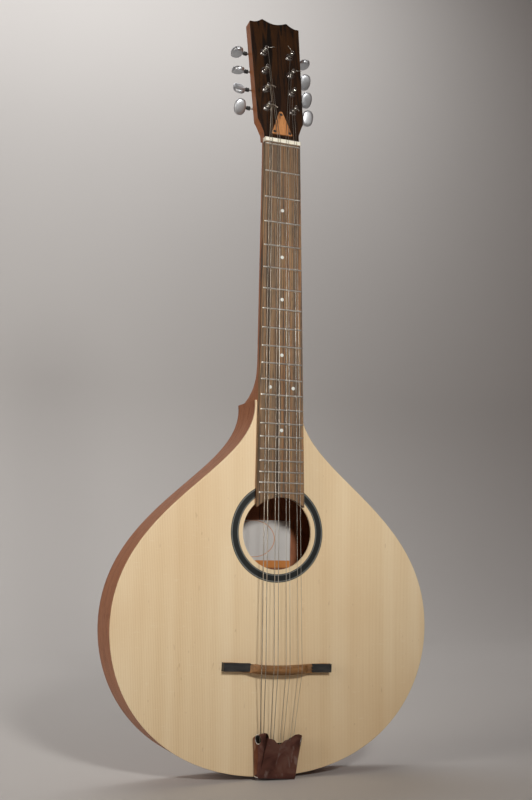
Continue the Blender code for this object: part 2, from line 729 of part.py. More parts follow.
def bridge(wood, ebony):
    middle = (SHOULDER_HALF + CROWN_HALF) / 2
    half = [CROWN_HALF / 2, CROWN_HALF, middle, SHOULDER_HALF - 0.001, SHOULDER_HALF, BRIDGE_HALF]
    rows = [-x for x in reversed(half)] + [0.0] + half
    loops = []
    for x in rows:
        h = bridge_height(x)
        wide = BRIDGE_BASE_W / 2
        crown = BRIDGE_CROWN_W / 2 if h > BRIDGE_WING_H + 0.001 else wide
        mid = BRIDGE_WING_H * 0.8
        section = [(-wide, GAP), (wide, GAP), (wide, mid), (crown, h), (-crown, h), (-wide, mid)]
        low = bridge_belly(x)
        loops.append([bridge_point(x, s - low, -up) for s, up in section])
    skin("bridge", loops, wood, True)
    low = -BRIDGE_WING_H - GAP
    wide = BRIDGE_BASE_W / 2
    left = BRIDGE_HALF - VENEER_LEFT
    nose = [(left, -wide), (left - 0.0022, -wide / 2), (left - 0.0022, wide / 2), (left, wide)]
    nose = [(-x, s) for x, s in nose] + [(-BRIDGE_HALF, wide), (-BRIDGE_HALF, -wide)]
    prism("bridge_wing_left", nose, bridge_point, low - VENEER_T, low, ebony)
    right = box_outline(BRIDGE_HALF - VENEER_RIGHT, BRIDGE_HALF, -wide, wide)
    prism("bridge_wing_right", right, bridge_point, low - VENEER_T, low, ebony)


def along_line(points, t):
    """Value at t on straight lines through (t, value) pairs."""
    for (t0, a), (t1, b) in zip(points, points[1:]):
        if t <= t1:
            return a + (b - a) * (t - t0) / (t1 - t0)
    return points[-1][1]


def cover_spot(t, v, inward=0.0):
    """Point of the cover: t from the middle to an edge, v from the foot to the top, inward through it."""
    side = -1 if t < 0 else 1
    t = abs(t)
    valley = COVER_FOOT_HALF - 0.0027 - 0.0087 * v
    crest = COVER_FOOT_HALF - 0.0015 - 0.0007 * v
    edge = COVER_FOOT_HALF + COVER_FLARE * v - inward
    dome = COVER_DOME + 0.0008 * v
    peak = dome + CREST_RISE * v
    if t < VALLEY_T:
        x, h = valley * t / VALLEY_T, dome
    elif t < CREST_T:
        u = (t - VALLEY_T) / (CREST_T - VALLEY_T)
        x, h = valley + (crest - valley) * u, dome + (peak - dome) * (1 - math.cos(PI * u)) / 2
    else:
        a = PI / 2 * (t - CREST_T) / (1 - CREST_T)
        x = crest + (edge - crest) * math.sin(a)
        h = COVER_FOOT_H + (peak - COVER_FOOT_H) * math.cos(a)
    x = min(x, edge)
    s = -TAIL_TO_BRIDGE + (along_line(COVER_TOP, t) + TAIL_TO_BRIDGE) * v
    return side * x, s, max(h - inward, COVER_FOOT_H)


def cover_rows(inward):
    """Rows across the cover from its foot wall to its top edge, on the outer or inner face."""
    stations = [0.0, 0.21, VALLEY_T, 0.56, CREST_T, 0.78, 0.86, 0.93, 1.0]
    stations = [-t for t in reversed(stations[1:])] + stations
    rows = [[cover_spot(t, v, inward) for t in stations] for v in (0.0, 0.35, 0.7, 1.0)]
    foot = [(x, s, COVER_FOOT_H) for x, s, _ in rows[0]]
    return [[lean_point(x, max(s, inward - TAIL_TO_BRIDGE), -h) for x, s, h in row] for row in [foot] + rows]


def sheet_shell(name, outer, inner, mat):
    """A sheet of some thickness between two grids of points, closed all round its border."""
    bm = bmesh.new()
    faces = [[[bm.verts.new(p) for p in row] for row in grid] for grid in (outer, inner)]
    for grid in faces:
        for low, high in zip(grid, grid[1:]):
            for i in range(len(low) - 1):
                bm.faces.new((low[i], low[i + 1], high[i + 1], high[i]))
    rims = []
    for grid in faces:
        right, left = [row[-1] for row in grid[1:]], [row[0] for row in grid[-2:0:-1]]
        rims.append(grid[0] + right + grid[-1][-2::-1] + left)
    for i in range(len(rims[0])):
        bm.faces.new((rims[0][i - 1], rims[0][i], rims[1][i], rims[1][i - 1]))
    return finish_mesh(name, bm, mat, True)


def ear_hole_cutter(side):
    """A round bar through the steep outer slope of one flute."""
    x, y, z = lean_point(side * EAR_HOLE[0], EAR_HOLE[1], -EAR_HOLE[2])
    out_x, out_y = side * math.sin(EAR_HOLE_TILT), -math.cos(EAR_HOLE_TILT)
    loops = []
    for reach in (-0.0030, 0.0120):
        loops.append([(x + out_x * reach - out_y * a, y + out_y * reach + out_x * a, z + b)
                      for a, b in disc((0, 0), EAR_HOLE_R, 16)])
    return skin("Ear hole", loops, None)


def tailpiece(mat, screw_mat):
    tail = -TAIL_TO_BRIDGE - GAP
    face = -GAP - HANGER_T
    ledge = [(HANGER_TOP, -GAP), (HANGER_TOP, face), (HOOK_S + 0.001, face), (HOOK_S, -HOOK_H),
             (HOOK_S - 0.0015, -HOOK_H), (HOOK_S - 0.0015, face), (tail - HANGER_T, face),
             (tail - HANGER_T, HANGER_DROP), (tail, HANGER_DROP), (tail, -GAP)]
    hanger = bar("tailpiece_plate", ledge, body_point, -HANGER_HALF, HANGER_HALF, mat)
    cover = sheet_shell("tailpiece_cover", cover_rows(0.0), cover_rows(TAIL_COVER_T), mat)
    for side in (-1, 1):
        boolean(cover, ear_hole_cutter(side))
    for number, x in enumerate((-TAIL_SCREW_X, TAIL_SCREW_X), 1):
        tail_screw(f"tail_screw_{number}", x, tail, hanger, screw_mat)


def tail_screw(name, x, tail, hanger, mat):
    """A screw through the hanger's flange into the tail block, on an axis along z."""
    def loop(s, r):
        return [body_point(x + a, s, TAIL_SCREW_D + b) for a, b in disc((0, 0), r, 10)]

    head = tail - HANGER_T - GAP
    rows = [(head - 0.0009, 0.0018), (head - 0.0005, 0.0030), (head, 0.0030), (head, TAIL_SCREW_R),
            (tail + TAIL_SCREW_L, TAIL_SCREW_R * 0.8)]
    skin(name, [loop(s, r) for s, r in rows], mat, True)
    reach = (head - 0.001, tail + TAIL_SCREW_L + GAP)
    hole = skin("Screw hole", [loop(s, TAIL_SCREW_R + GAP) for s in reach], None)
    boolean(hanger, hole)
    for wood in ("rib_left", "rib_right", "tail_block"):
        boolean(bpy.data.objects[wood], hole)


# ---------------------------------------------------------------- strings

def string_xs(course, pair):
    return [course * (k - 1.5) + side * pair / 2 for k in range(4) for side in (-1, 1)]


def string_path(number):
    """Tailpiece hook, bridge crown, zero fret, nut, then round the post."""
    r = STRING_R[number]
    nut_x = string_xs(NUT_COURSE, NUT_PAIR)[number]
    bridge_x = string_xs(BRIDGE_COURSE, BRIDGE_PAIR)[number]
    crown = BRIDGE_H + GAP + r
    reach = COMPENSATION[number // 2]
    path = [body_point(bridge_x * TAIL_SPREAD - 0.0012, HOOK_S, -HOOK_H - GAP - r)]
    low = bridge_belly(bridge_x)
    for s in (-BRIDGE_CROWN_W / 2 - low, BRIDGE_CROWN_W / 2 - low + reach * 0.2):
        path.append(bridge_point(bridge_x, s, -crown))
    clear = -GAP - r
    path.append(neck_point(nut_x, SCALE_LENGTH, clear))
    path.append(neck_point(nut_x, NUT_S + NUT_T, clear + 0.0002))
    return path + head_path(number, nut_x, r)


def head_path(number, nut_x, r):
    side, x, u = post_places()[number]
    coil = (POST_WAIST_R + GAP + r) / math.cos(PI / COIL_STEPS)
    pitch = 2 * r + 0.0002
    high = -WAIST_HIGH + 0.0002 + r
    path = []
    if number in (1, 6):
        # the inner string of an outer pair passes close beside the lowest post
        path.append(head_point(side * (POST_X - POST_WAIST_R - 0.0022), POST_TOP - 3 * POST_PITCH, -0.0062))
    steps = int(COIL_TURNS * COIL_STEPS)
    for k in range(steps + 1):
        a = 2 * PI * k / COIL_STEPS
        d = high + pitch * k / COIL_STEPS
        path.append(head_point(x - side * coil * math.cos(a), u + coil * math.sin(a), d))
    return path


def string(number, mat):
    """A round wire along its path, made as a curve with a bevel and filled ends."""
    points = string_path(number)
    curve = bpy.data.curves.new(f"string_{number + 1}", "CURVE")
    curve.dimensions = "3D"
    curve.bevel_depth = STRING_R[number]
    curve.bevel_resolution = 1
    curve.use_fill_caps = True
    spline = curve.splines.new("POLY")
    spline.points.add(len(points) - 1)
    for point, place in zip(spline.points, points):
        point.co = (*place, 1.0)
    obj = bpy.data.objects.new(curve.name, curve)
    bpy.context.scene.collection.objects.link(obj)
    curve.materials.append(mat)


# ---------------------------------------------------------------- whole

def clear_scene():
    for obj in list(bpy.data.objects):
        bpy.data.objects.remove(obj, do_unlink=True)


def build():
    clear_scene()
    looks = {
        "spruce": material("spruce", (0.79, 0.63, 0.42), 0.45),
        "rosette": material("rosette", (0.03, 0.035, 0.035), 0.4),
        "mahogany": material("mahogany", (0.35, 0.12, 0.05), 0.4),
        "lining": material("lining", (0.62, 0.45, 0.28), 0.7),
        "paper": material("paper", (0.80, 0.76, 0.70), 0.8),
    }
    body(looks)
    neck_wood = material("neck_wood", (0.38, 0.15, 0.06), 0.4)
    rosewood = material("rosewood", (0.10, 0.05, 0.03), 0.4)
    striped = material("striped_wood", (0.34, 0.21, 0.12), 0.5)
    bone = material("bone", (0.85, 0.81, 0.68), 0.4)
    steel = material("steel", (0.55, 0.55, 0.56), 0.3, 1.0)
    brass = material("brass", (0.70, 0.52, 0.25), 0.35, 1.0)
    black = material("black_steel", (0.02, 0.02, 0.02), 0.4, 1.0)
    chrome = material("chrome", (0.85, 0.85, 0.86), 0.08, 1.0)
    silver = material("silver", (0.70, 0.71, 0.72), 0.3, 1.0)
    ebony = material("ebony", (0.02, 0.02, 0.022), 0.5)
    bridge_wood = material("bridge_wood", (0.36, 0.20, 0.09), 0.5)
    light_wood = material("light_wood", (0.55, 0.27, 0.09), 0.5)
    plate = neck(neck_wood, rosewood)
    fingerboard(striped)
    nut(bone)
    truss_rod(steel, brass)
    truss_cover(light_wood, black, plate)
    machines(chrome, silver)
    bridge(bridge_wood, ebony)
    tailpiece(chrome, steel)
    for number in range(8):
        string(number, steel)


build()
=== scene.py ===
"""Flat-top bouzouki: the finished surfaces of each piece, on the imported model's frame."""
import math

import bmesh
import bpy
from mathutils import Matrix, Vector


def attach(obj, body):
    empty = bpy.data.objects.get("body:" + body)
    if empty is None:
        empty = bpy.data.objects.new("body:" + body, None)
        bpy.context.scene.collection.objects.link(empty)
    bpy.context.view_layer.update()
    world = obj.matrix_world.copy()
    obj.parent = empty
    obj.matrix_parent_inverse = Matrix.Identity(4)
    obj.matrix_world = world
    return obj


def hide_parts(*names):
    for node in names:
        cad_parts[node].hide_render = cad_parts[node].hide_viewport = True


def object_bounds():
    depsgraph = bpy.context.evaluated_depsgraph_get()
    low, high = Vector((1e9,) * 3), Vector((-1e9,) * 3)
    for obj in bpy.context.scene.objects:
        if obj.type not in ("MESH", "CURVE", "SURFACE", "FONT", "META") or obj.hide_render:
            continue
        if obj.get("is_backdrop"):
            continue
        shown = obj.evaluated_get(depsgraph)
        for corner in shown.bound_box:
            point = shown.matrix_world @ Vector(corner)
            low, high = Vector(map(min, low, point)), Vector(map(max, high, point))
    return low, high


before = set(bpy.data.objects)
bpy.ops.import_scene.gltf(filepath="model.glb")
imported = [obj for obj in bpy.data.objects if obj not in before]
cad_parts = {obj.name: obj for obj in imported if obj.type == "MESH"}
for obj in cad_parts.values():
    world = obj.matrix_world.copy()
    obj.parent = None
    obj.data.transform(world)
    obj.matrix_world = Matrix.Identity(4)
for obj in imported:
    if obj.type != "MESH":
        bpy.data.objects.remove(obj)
cad_low, cad_high = (list(corner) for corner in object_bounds())

PI = math.pi

# the body, upright: x to the right, s up from the bridge line, d back from the soundboard's face
SCALE = 0.610
JOINT_S = SCALE * 2 ** (-13 / 12)
BODY_DEPTH = 0.058
HALF_WIDTH = 0.1927
TAIL_TO_BRIDGE = 0.1221
BRIDGE_TO_WIDEST = 0.0423
BRIDGE_TO_TOP = JOINT_S + 0.0115
TOP_HALF = 0.029
TAIL_Z = 0.0015
BRIDGE_Z = TAIL_Z + TAIL_TO_BRIDGE
FRONT_Y = -BODY_DEPTH / 2
SOUNDBOARD_T = 0.0028
BACK_T = 0.0028
RIB_T = 0.0022

FRETS = 20
BOARD_END_S = SCALE * 2 ** (-FRETS / 12) - 0.0161
BOARD_SCOOP = 0.011
HOLE_R = 0.0424
HOLE_S = BOARD_END_S + BOARD_SCOOP + 0.0026 - HOLE_R
ROSETTE_IN = HOLE_R + 0.0051
ROSETTE_OUT = ROSETTE_IN + 0.0093
ROSETTE_T = 0.0014
LABEL_X = 0.0035
LABEL_LOW = HOLE_S - 0.0405

# the neck leans back a little, and the headstock more
NECK_ANGLE = math.radians(0.8)
FRET_PLANE = 0.0102
FRET_H = 0.0010
BOARD_D = 0.0070
NUT_S = SCALE + 0.0025
NUT_T = 0.005
HEAD_ANGLE = math.radians(10.0)
HEAD_S = NUT_S + NUT_T + 0.0007
HEAD_T = 0.015
HEADPLATE_T = 0.002
POST_X = 0.0172
POST_PITCH = 0.0260
POST_LOW = 0.0410
POST_TOP = POST_LOW + 3 * POST_PITCH
GEAR_TEETH = 14
GEAR_R = 0.0052
WORM_R = 0.0019
WORM_OFFSET = GEAR_R + WORM_R + 0.0003
PLATE_D = HEAD_T + 0.0003
GEAR_D = PLATE_D + 0.0015
GEAR_T = 0.0036
WORM_D = GEAR_D + GEAR_T / 2
BUTTON_TURNS = (142, 30, 74, 90, 88, 140, 142, 155)
POST_HOLE_R = 0.0028
SHAFT_R = 0.0011

BRIDGE_S = -0.0035
BRIDGE_TURN = math.radians(2.0)
BRIDGE_H = 0.0172
WING_H = 0.0070
COVER_LEAN = math.radians(-4.6)
HOOK_S = -0.0985
EAR_TILT = math.radians(54)
NUT_SPACING = (0.0106, 0.0028)
BRIDGE_SPACING = (0.0147, 0.0048)
STRING_R = (0.00050, 0.00050, 0.00038, 0.00038, 0.00028, 0.00028, 0.00022, 0.00022)
END_ANGLES = (330, 340, 250, 10, 130, 0, 200, 290)
END_LENGTHS = (0.0105, 0.0085, 0.0070, 0.0105, 0.0100, 0.0095, 0.0065, 0.0060)


def body_point(x, s, d):
    return Vector((x, FRONT_Y + d, BRIDGE_Z + s))


def leaned(foot_y, foot_z, angle, x, rise, d):
    """A point rise up and d behind a face that leans back from its foot."""
    c, n = math.cos(angle), math.sin(angle)
    return Vector((x, foot_y + rise * n + d * c, foot_z + rise * c - d * n))


def neck_point(x, s, d):
    return leaned(FRONT_Y - FRET_PLANE, BRIDGE_Z + JOINT_S, NECK_ANGLE, x, s - JOINT_S, d)


def head_point(x, u, d):
    foot = neck_point(0, HEAD_S, 0.003)
    return leaned(foot.y, foot.z, HEAD_ANGLE, x, u, d)


def cover_point(x, s, d):
    rise = s + TAIL_TO_BRIDGE
    c, n = math.cos(COVER_LEAN), math.sin(COVER_LEAN)
    return body_point(c * x - n * rise - 0.0022, n * x + c * rise - TAIL_TO_BRIDGE, d)


def bridge_point(x, s, d):
    c, n = math.cos(BRIDGE_TURN), math.sin(BRIDGE_TURN)
    return body_point(c * x + n * s, BRIDGE_S + c * s - n * x, d)


# ------------------------------------------------------------------ finishes

class Wire:
    """One output of a finish's nodes. Sums written with it add their Math nodes."""

    def __init__(self, look, socket):
        self.look = look
        self.socket = socket

    def math(self, operation, first, second=0.5):
        return self.look.node("ShaderNodeMath", {"operation": operation}, {0: first, 1: second})

    def __add__(self, other):
        return self.math("ADD", self, other)

    def __radd__(self, other):
        return self.math("ADD", other, self)

    def __sub__(self, other):
        return self.math("SUBTRACT", self, other)

    def __rsub__(self, other):
        return self.math("SUBTRACT", other, self)

    def __mul__(self, other):
        return self.math("MULTIPLY", self, other)

    def __truediv__(self, other):
        return self.math("DIVIDE", self, other)

    def __pow__(self, other):
        return self.math("POWER", self, other)

    def __abs__(self):
        return self.math("ABSOLUTE", self)

    def sine(self):
        return self.math("SINE", self)

    def most(self, other):
        return self.math("MAXIMUM", self, other)


class Look:
    """A finish: its Principled shader and the nodes that vary it over the surface."""

    def __init__(self, name, own_grain=True, **plain):
        self.own_grain = own_grain
        self.material = bpy.data.materials.new(name)
        self.material.use_nodes = True
        self.tree = self.material.node_tree
        self.shader = self.tree.nodes["Principled BSDF"]
        for socket, value in plain.items():
            self.shader.inputs[socket.replace("_", " ")].default_value = value

    def node(self, kind, settings=None, sockets=None, output=0):
        made = self.tree.nodes.new(kind)
        for key, value in (settings or {}).items():
            if key == "stops":
                self.set_stops(made.color_ramp, value)
            else:
                setattr(made, key, value)
        for key, value in (sockets or {}).items():
            self.feed(made.inputs[key], value)
        return Wire(self, made.outputs[output])

    def feed(self, socket, value):
        if isinstance(value, Wire):
            self.tree.links.new(value.socket, socket)
        else:
            socket.default_value = value

    def set_stops(self, ramp, stops):
        while len(ramp.elements) < len(stops):
            ramp.elements.new(1.0)
        for element, (place, colour) in zip(ramp.elements, stops):
            element.position = place
            element.color = (*colour, 1.0)

    def grain(self, across=1.0, depth=1.0, along=1.0):
        """The piece's own place in metres (across, depth, along the grain), stretched."""
        if self.own_grain:
            place = self.node("ShaderNodeAttribute", {"attribute_name": "grain"}, output="Vector")
        else:
            place = self.node("ShaderNodeTexCoord", None, None, output="Object")
        sockets = {0: place, 1: (across, depth, along)}
        return self.node("ShaderNodeVectorMath", {"operation": "MULTIPLY"}, sockets)

    def split(self, vector):
        made = self.tree.nodes.new("ShaderNodeSeparateXYZ")
        self.feed(made.inputs[0], vector)
        return [Wire(self, socket) for socket in made.outputs]

    def noise(self, stretch, detail=3.0, rough=0.55, bend=0.0):
        """Soft noise over the grain stretched by three numbers, or over another place."""
        vector = stretch if isinstance(stretch, Wire) else self.grain(*stretch)
        sockets = {"Vector": vector, "Scale": 1.0, "Detail": detail, "Roughness": rough, "Distortion": bend}
        return self.node("ShaderNodeTexNoise", None, sockets)

    def ramp(self, factor, stops):
        return self.node("ShaderNodeValToRGB", {"stops": stops}, {0: factor})

    def mask(self, value, low, high):
        """0 below low, 1 above high, smooth between."""
        sockets = {"Value": value, "From Min": low, "From Max": high}
        return self.node("ShaderNodeMapRange", {"interpolation_type": "SMOOTHSTEP"}, sockets)

    def mix(self, factor, first, second):
        """The first colour where factor is 0, the second where it is 1."""
        first, second = (c if isinstance(c, Wire) else (*c, 1.0) for c in (first, second))
        return self.node("ShaderNodeMix", {"data_type": "RGBA"}, {0: factor, 6: first, 7: second}, output=2)

    def bump(self, height, distance, strength=0.5):
        sockets = {"Height": height, "Distance": distance, "Strength": strength}
        return self.node("ShaderNodeBump", None, sockets)

    def wear(self, **sockets):
        for name, wire in sockets.items():
            self.feed(self.shader.inputs[name.replace("_", " ")], wire)
        return self


def spruce_finish():
    """Pale, straight, close-grained spruce in two mirrored halves, with a thin satin coat."""
    look = Look("spruce", Coat_Weight=0.12, Coat_Roughness=0.35)
    x, _, _ = look.split(look.grain())
    halves = abs(x)
    drift = look.noise((3, 3, 1.6), 2.0)
    year = ((halves + drift * 0.012) * (2 * PI / 0.0019)).sine() * 0.5 + 0.5
    late = year ** 4
    broad = look.noise((42, 42, 0.9), 2.0)
    patch = look.noise((9, 9, 5), 2.0)
    fibre = look.noise((1500, 1500, 30), 2.0)
    silk = look.mask(look.noise((95, 95, 480), 2.0, 0.6, 0.4), 0.60, 0.76)
    specks = look.mask(look.noise((260, 260, 70), 1.0), 0.74, 0.80)
    tone = late * 0.42 + broad * 0.95 + fibre * 0.30 - 0.42
    colour = look.ramp(tone, [(0.0, (0.85, 0.69, 0.46)), (0.45, (0.78, 0.595, 0.36)),
                              (1.0, (0.58, 0.385, 0.18))])
    colour = look.mix(look.mask(patch, 0.42, 0.72) * 0.40, colour, (0.70, 0.49, 0.27))
    colour = look.mix(silk * 0.22, colour, (0.88, 0.76, 0.57))
    colour = look.mix(specks * 0.30, colour, (0.42, 0.25, 0.12))
    height = fibre * 0.5 + late * 0.5
    return look.wear(Base_Color=colour, Roughness=0.44 + fibre * 0.16 - silk * 0.08,
                     Normal=look.bump(height, 0.00006, 0.35))


def mahogany_finish(name, pale, dark, seam=None):
    """Reddish wood with short dark pores, fine fibres and slow ribbon bands."""
    look = Look(name, Specular_IOR_Level=0.28)
    ribbon = look.noise((38, 38, 2.2), 2.0, 0.5, 0.5)
    fibre = look.noise((900, 900, 22), 3.0)
    pores = look.mask(look.noise((1300, 1300, 62), 2.0, 0.6), 0.54, 0.66)
    cloud = look.noise((14, 14, 6), 2.0)
    tone = ribbon * 0.75 + fibre * 0.45 + cloud * 0.25 - 0.28
    colour = look.mix(look.mask(tone, 0.15, 0.85), pale, dark)
    colour = look.mix(pores * 0.62, colour, (dark[0] * 0.40, dark[1] * 0.32, dark[2] * 0.28))
    if seam:
        x, _, _ = look.split(look.grain())
        colour = look.mix(1.0 - look.mask(abs(x), seam * 0.6, seam), colour, (0.05, 0.02, 0.01))
    height = 1.0 - pores * 0.8 + fibre * 0.2
    return look.wear(Base_Color=colour, Roughness=0.36 + fibre * 0.16 + pores * 0.14,
                     Normal=look.bump(height, 0.00010, 0.45))


def rosewood_finish():
    """Near-black wood with wide brown and black bands along it."""
    look = Look("rosewood", Specular_IOR_Level=0.16)
    x, y, z = look.split(look.grain())
    sway = look.noise((14, 14, 5), 2.0)
    lane = look.node("ShaderNodeCombineXYZ", None, {0: x * 72.0 + sway * 1.1, 1: y * 40.0, 2: z * 0.8})
    band = look.noise(lane, 2.0, 0.55)
    fibre = look.noise((1200, 1200, 26), 3.0)
    pores = look.mask(look.noise((2100, 2100, 120), 2.0), 0.60, 0.70)
    colour = look.ramp(band + fibre * 0.10 - 0.05, [
        (0.30, (0.005, 0.003, 0.002)), (0.42, (0.009, 0.005, 0.003)), (0.46, (0.044, 0.017, 0.005)),
        (0.53, (0.028, 0.011, 0.004)), (0.56, (0.007, 0.004, 0.003)), (0.62, (0.036, 0.014, 0.005)),
        (0.72, (0.008, 0.005, 0.003))])
    colour = look.mix(pores * 0.6, colour, (0.006, 0.004, 0.003))
    return look.wear(Base_Color=colour, Roughness=0.40 + fibre * 0.18,
                     Normal=look.bump(1.0 - pores, 0.00008, 0.4))


def striped_finish():
    """Open-grained fingerboard wood striped tan, grey and near-black."""
    look = Look("striped_wood", Specular_IOR_Level=0.30)
    sway = look.noise((30, 30, 3), 2.0)
    x, y, z = look.split(look.grain())
    lane = look.node("ShaderNodeCombineXYZ", None, {0: x * 190.0 + sway * 0.9, 1: y * 60.0, 2: z * 1.1})
    stripe = look.noise(lane, 2.5, 0.62)
    thin = look.noise((820, 200, 5), 2.0, 0.6)
    fibre = look.noise((1700, 1700, 34), 2.0)
    pores = look.mask(look.noise((1500, 1500, 75), 2.0, 0.6), 0.57, 0.66)
    colour = look.ramp(stripe + thin * 0.24 - 0.12, [
        (0.30, (0.030, 0.022, 0.016)), (0.385, (0.070, 0.048, 0.032)), (0.415, (0.30, 0.165, 0.075)),
        (0.450, (0.22, 0.145, 0.085)), (0.470, (0.045, 0.034, 0.026)), (0.495, (0.19, 0.130, 0.075)),
        (0.525, (0.34, 0.205, 0.095)), (0.555, (0.26, 0.115, 0.042)), (0.580, (0.040, 0.030, 0.023)),
        (0.620, (0.130, 0.105, 0.078)), (0.665, (0.30, 0.175, 0.080)), (0.78, (0.030, 0.022, 0.017))])
    colour = look.mix(fibre * 0.35, colour, (0.16, 0.10, 0.06))
    colour = look.mix(pores * 0.60, colour, (0.035, 0.024, 0.016))
    return look.wear(Base_Color=colour, Roughness=0.50 + fibre * 0.20 + pores * 0.10,
                     Normal=look.bump(1.0 - pores * 0.9 + fibre * 0.3, 0.00014, 0.5))


def plain_wood_finish(name, pale, dark, streak=0.0, coat=0.0, own_grain=True):
    """A small piece of straight-grained wood, with dark streaks where streak is above 0."""
    look = Look(name, own_grain, Coat_Weight=coat, Coat_Roughness=0.3)
    band = look.noise((240, 240, 9), 3.0, 0.6, 0.3)
    fibre = look.noise((1700, 1700, 45), 3.0)
    colour = look.mix(look.mask(band + fibre * 0.5, 0.50, 1.05), pale, dark)
    if streak:
        line = look.mask(look.noise((330, 330, 12), 1.5, 0.5, 0.4), 0.57, 0.66)
        colour = look.mix(line * streak, colour, (dark[0] * 0.35, dark[1] * 0.32, dark[2] * 0.3))
    return look.wear(Base_Color=colour, Roughness=0.42 + fibre * 0.22,
                     Normal=look.bump(fibre, 0.00008, 0.4))


def rosette_finish():
    """Black band edged by thin pale and grey lines."""
    look = Look("rosette", Specular_IOR_Level=0.35)
    x, _, z = look.split(look.grain())
    lift = z - (BRIDGE_Z + HOLE_S)
    radius = (x * x + lift * lift) ** 0.5
    across = (radius - ROSETTE_IN) / (ROSETTE_OUT - ROSETTE_IN)
    streak = look.noise((700, 700, 700), 2.0)
    grey, black, dark = (0.20, 0.21, 0.195), (0.008, 0.010, 0.010), (0.030, 0.032, 0.030)
    colour = look.ramp(across, [(0.0, dark), (0.055, dark), (0.075, grey), (0.145, grey), (0.165, black),
                                (0.80, black), (0.82, grey), (0.905, grey), (0.925, dark), (1.0, dark)])
    colour = look.mix(streak * 0.18, colour, (0.04, 0.044, 0.042))
    return look.wear(Base_Color=colour, Roughness=0.32 + streak * 0.2,
                     Normal=look.bump(streak, 0.00003, 0.3))


def bone_finish():
    look = Look("bone", Subsurface_Weight=0.08, Subsurface_Radius=(0.002, 0.0015, 0.001))
    cloud = look.noise((260, 260, 260), 3.0)
    line = look.noise((120, 2600, 2600), 2.0)
    colour = look.mix(look.mask(cloud + line * 0.3, 0.40, 0.95), (0.90, 0.87, 0.76), (0.80, 0.75, 0.60))
    return look.wear(Base_Color=colour, Roughness=0.34 + line * 0.16, Normal=look.bump(line, 0.00003, 0.3))


def metal_finish(name, tint, rough, spread, brush=0.0, scratch=0.0, own_grain=True):
    """Metal with smudges; brush draws fine lines along the piece and scratch adds a few thin marks."""
    look = Look(name, own_grain, Metallic=1.0)
    smudge = look.noise((90, 90, 90), 4.0, 0.6)
    fine = look.noise((2400, 2400, 2400), 2.0)
    rough_wire = rough + look.mask(smudge, 0.35, 0.75) * spread + fine * (spread * 0.35)
    colour = look.mix(look.mask(smudge, 0.30, 0.80), tint, [c * 0.86 for c in tint])
    height = fine * 0.4
    if brush:
        lines = look.noise((350, 350, 6500), 2.0, 0.6)
        rough_wire = rough_wire + lines * brush
        height = height + lines
    if scratch:
        marks = look.mask(look.noise((60, 900, 1600), 2.0, 0.5, 1.2), 0.66, 0.70)
        rough_wire = rough_wire + marks * scratch
        height = height - marks * 0.5
    return look.wear(Base_Color=colour, Roughness=rough_wire, Normal=look.bump(height, 0.00002, 0.18))


def tail_chrome_finish():
    """Mirror metal with a painted reflection in its colour: dark warm brown clouds for the room it reflects,
    with long soft pale streaks of painted highlight.
    """
    look = Look("tail_chrome", Metallic=1.0)
    sweep = look.noise((60, 60, 26), 2.0, 0.5, 1.8)
    cloud = look.noise((34, 34, 50), 3.0, 0.5, 0.8)
    fine = look.noise((2400, 2400, 2400), 2.0)
    # painted reflection: these brown tones and the pale streaks below stand in for what the mirror reflects
    colour = look.ramp(cloud, [(0.34, (0.105, 0.050, 0.044)), (0.50, (0.20, 0.092, 0.076)),
                               (0.66, (0.27, 0.145, 0.12))])
    colour = look.mix(look.mask(sweep, 0.56, 0.70) * 0.55, colour, (0.42, 0.33, 0.31))
    return look.wear(Base_Color=colour, Roughness=0.05 + cloud * 0.09 + fine * 0.03,
                     Normal=look.bump(fine, 0.00001, 0.1))


def wire_finish(name, wound):
    """Steel wire; the low strings are wrapped with a fine winding."""
    look = Look(name, Metallic=1.0)
    _, _, z = look.split(look.grain())
    turns = (z * (2 * PI / 0.00050)).sine() * 0.5 + 0.5
    tarnish = look.noise((500, 500, 60), 3.0)
    tint, worn = (0.48, 0.46, 0.42), (0.34, 0.31, 0.27)
    if wound:
        tint, worn = (0.42, 0.37, 0.31), (0.28, 0.24, 0.19)
    colour = look.mix(look.mask(tarnish, 0.35, 0.75), tint, worn)
    height = turns if wound else tarnish
    return look.wear(Base_Color=colour, Roughness=0.28 + tarnish * 0.14,
                     Normal=look.bump(height, 0.00006 if wound else 0.00001, 0.6))


def black_finish(name, rough):
    look = Look(name, Specular_IOR_Level=0.45)
    fine = look.noise((1500, 1500, 240), 3.0)
    slow = look.noise((220, 220, 60), 2.0)
    colour = look.mix(look.mask(slow + fine * 0.4, 0.45, 0.95), (0.010, 0.010, 0.011), (0.034, 0.032, 0.030))
    return look.wear(Base_Color=colour, Roughness=rough + fine * 0.2, Normal=look.bump(fine, 0.00006, 0.4))


def pearl_finish():
    look = Look("pearl", Coat_Weight=0.6, Coat_Roughness=0.1)
    swirl = look.noise((420, 420, 300), 3.0, 0.6, 1.6)
    colour = look.ramp(swirl, [(0.30, (0.70, 0.74, 0.74)), (0.48, (0.82, 0.80, 0.74)),
                               (0.60, (0.66, 0.75, 0.72)), (0.72, (0.86, 0.83, 0.80))])
    return look.wear(Base_Color=colour, Roughness=0.18 + swirl * 0.18)


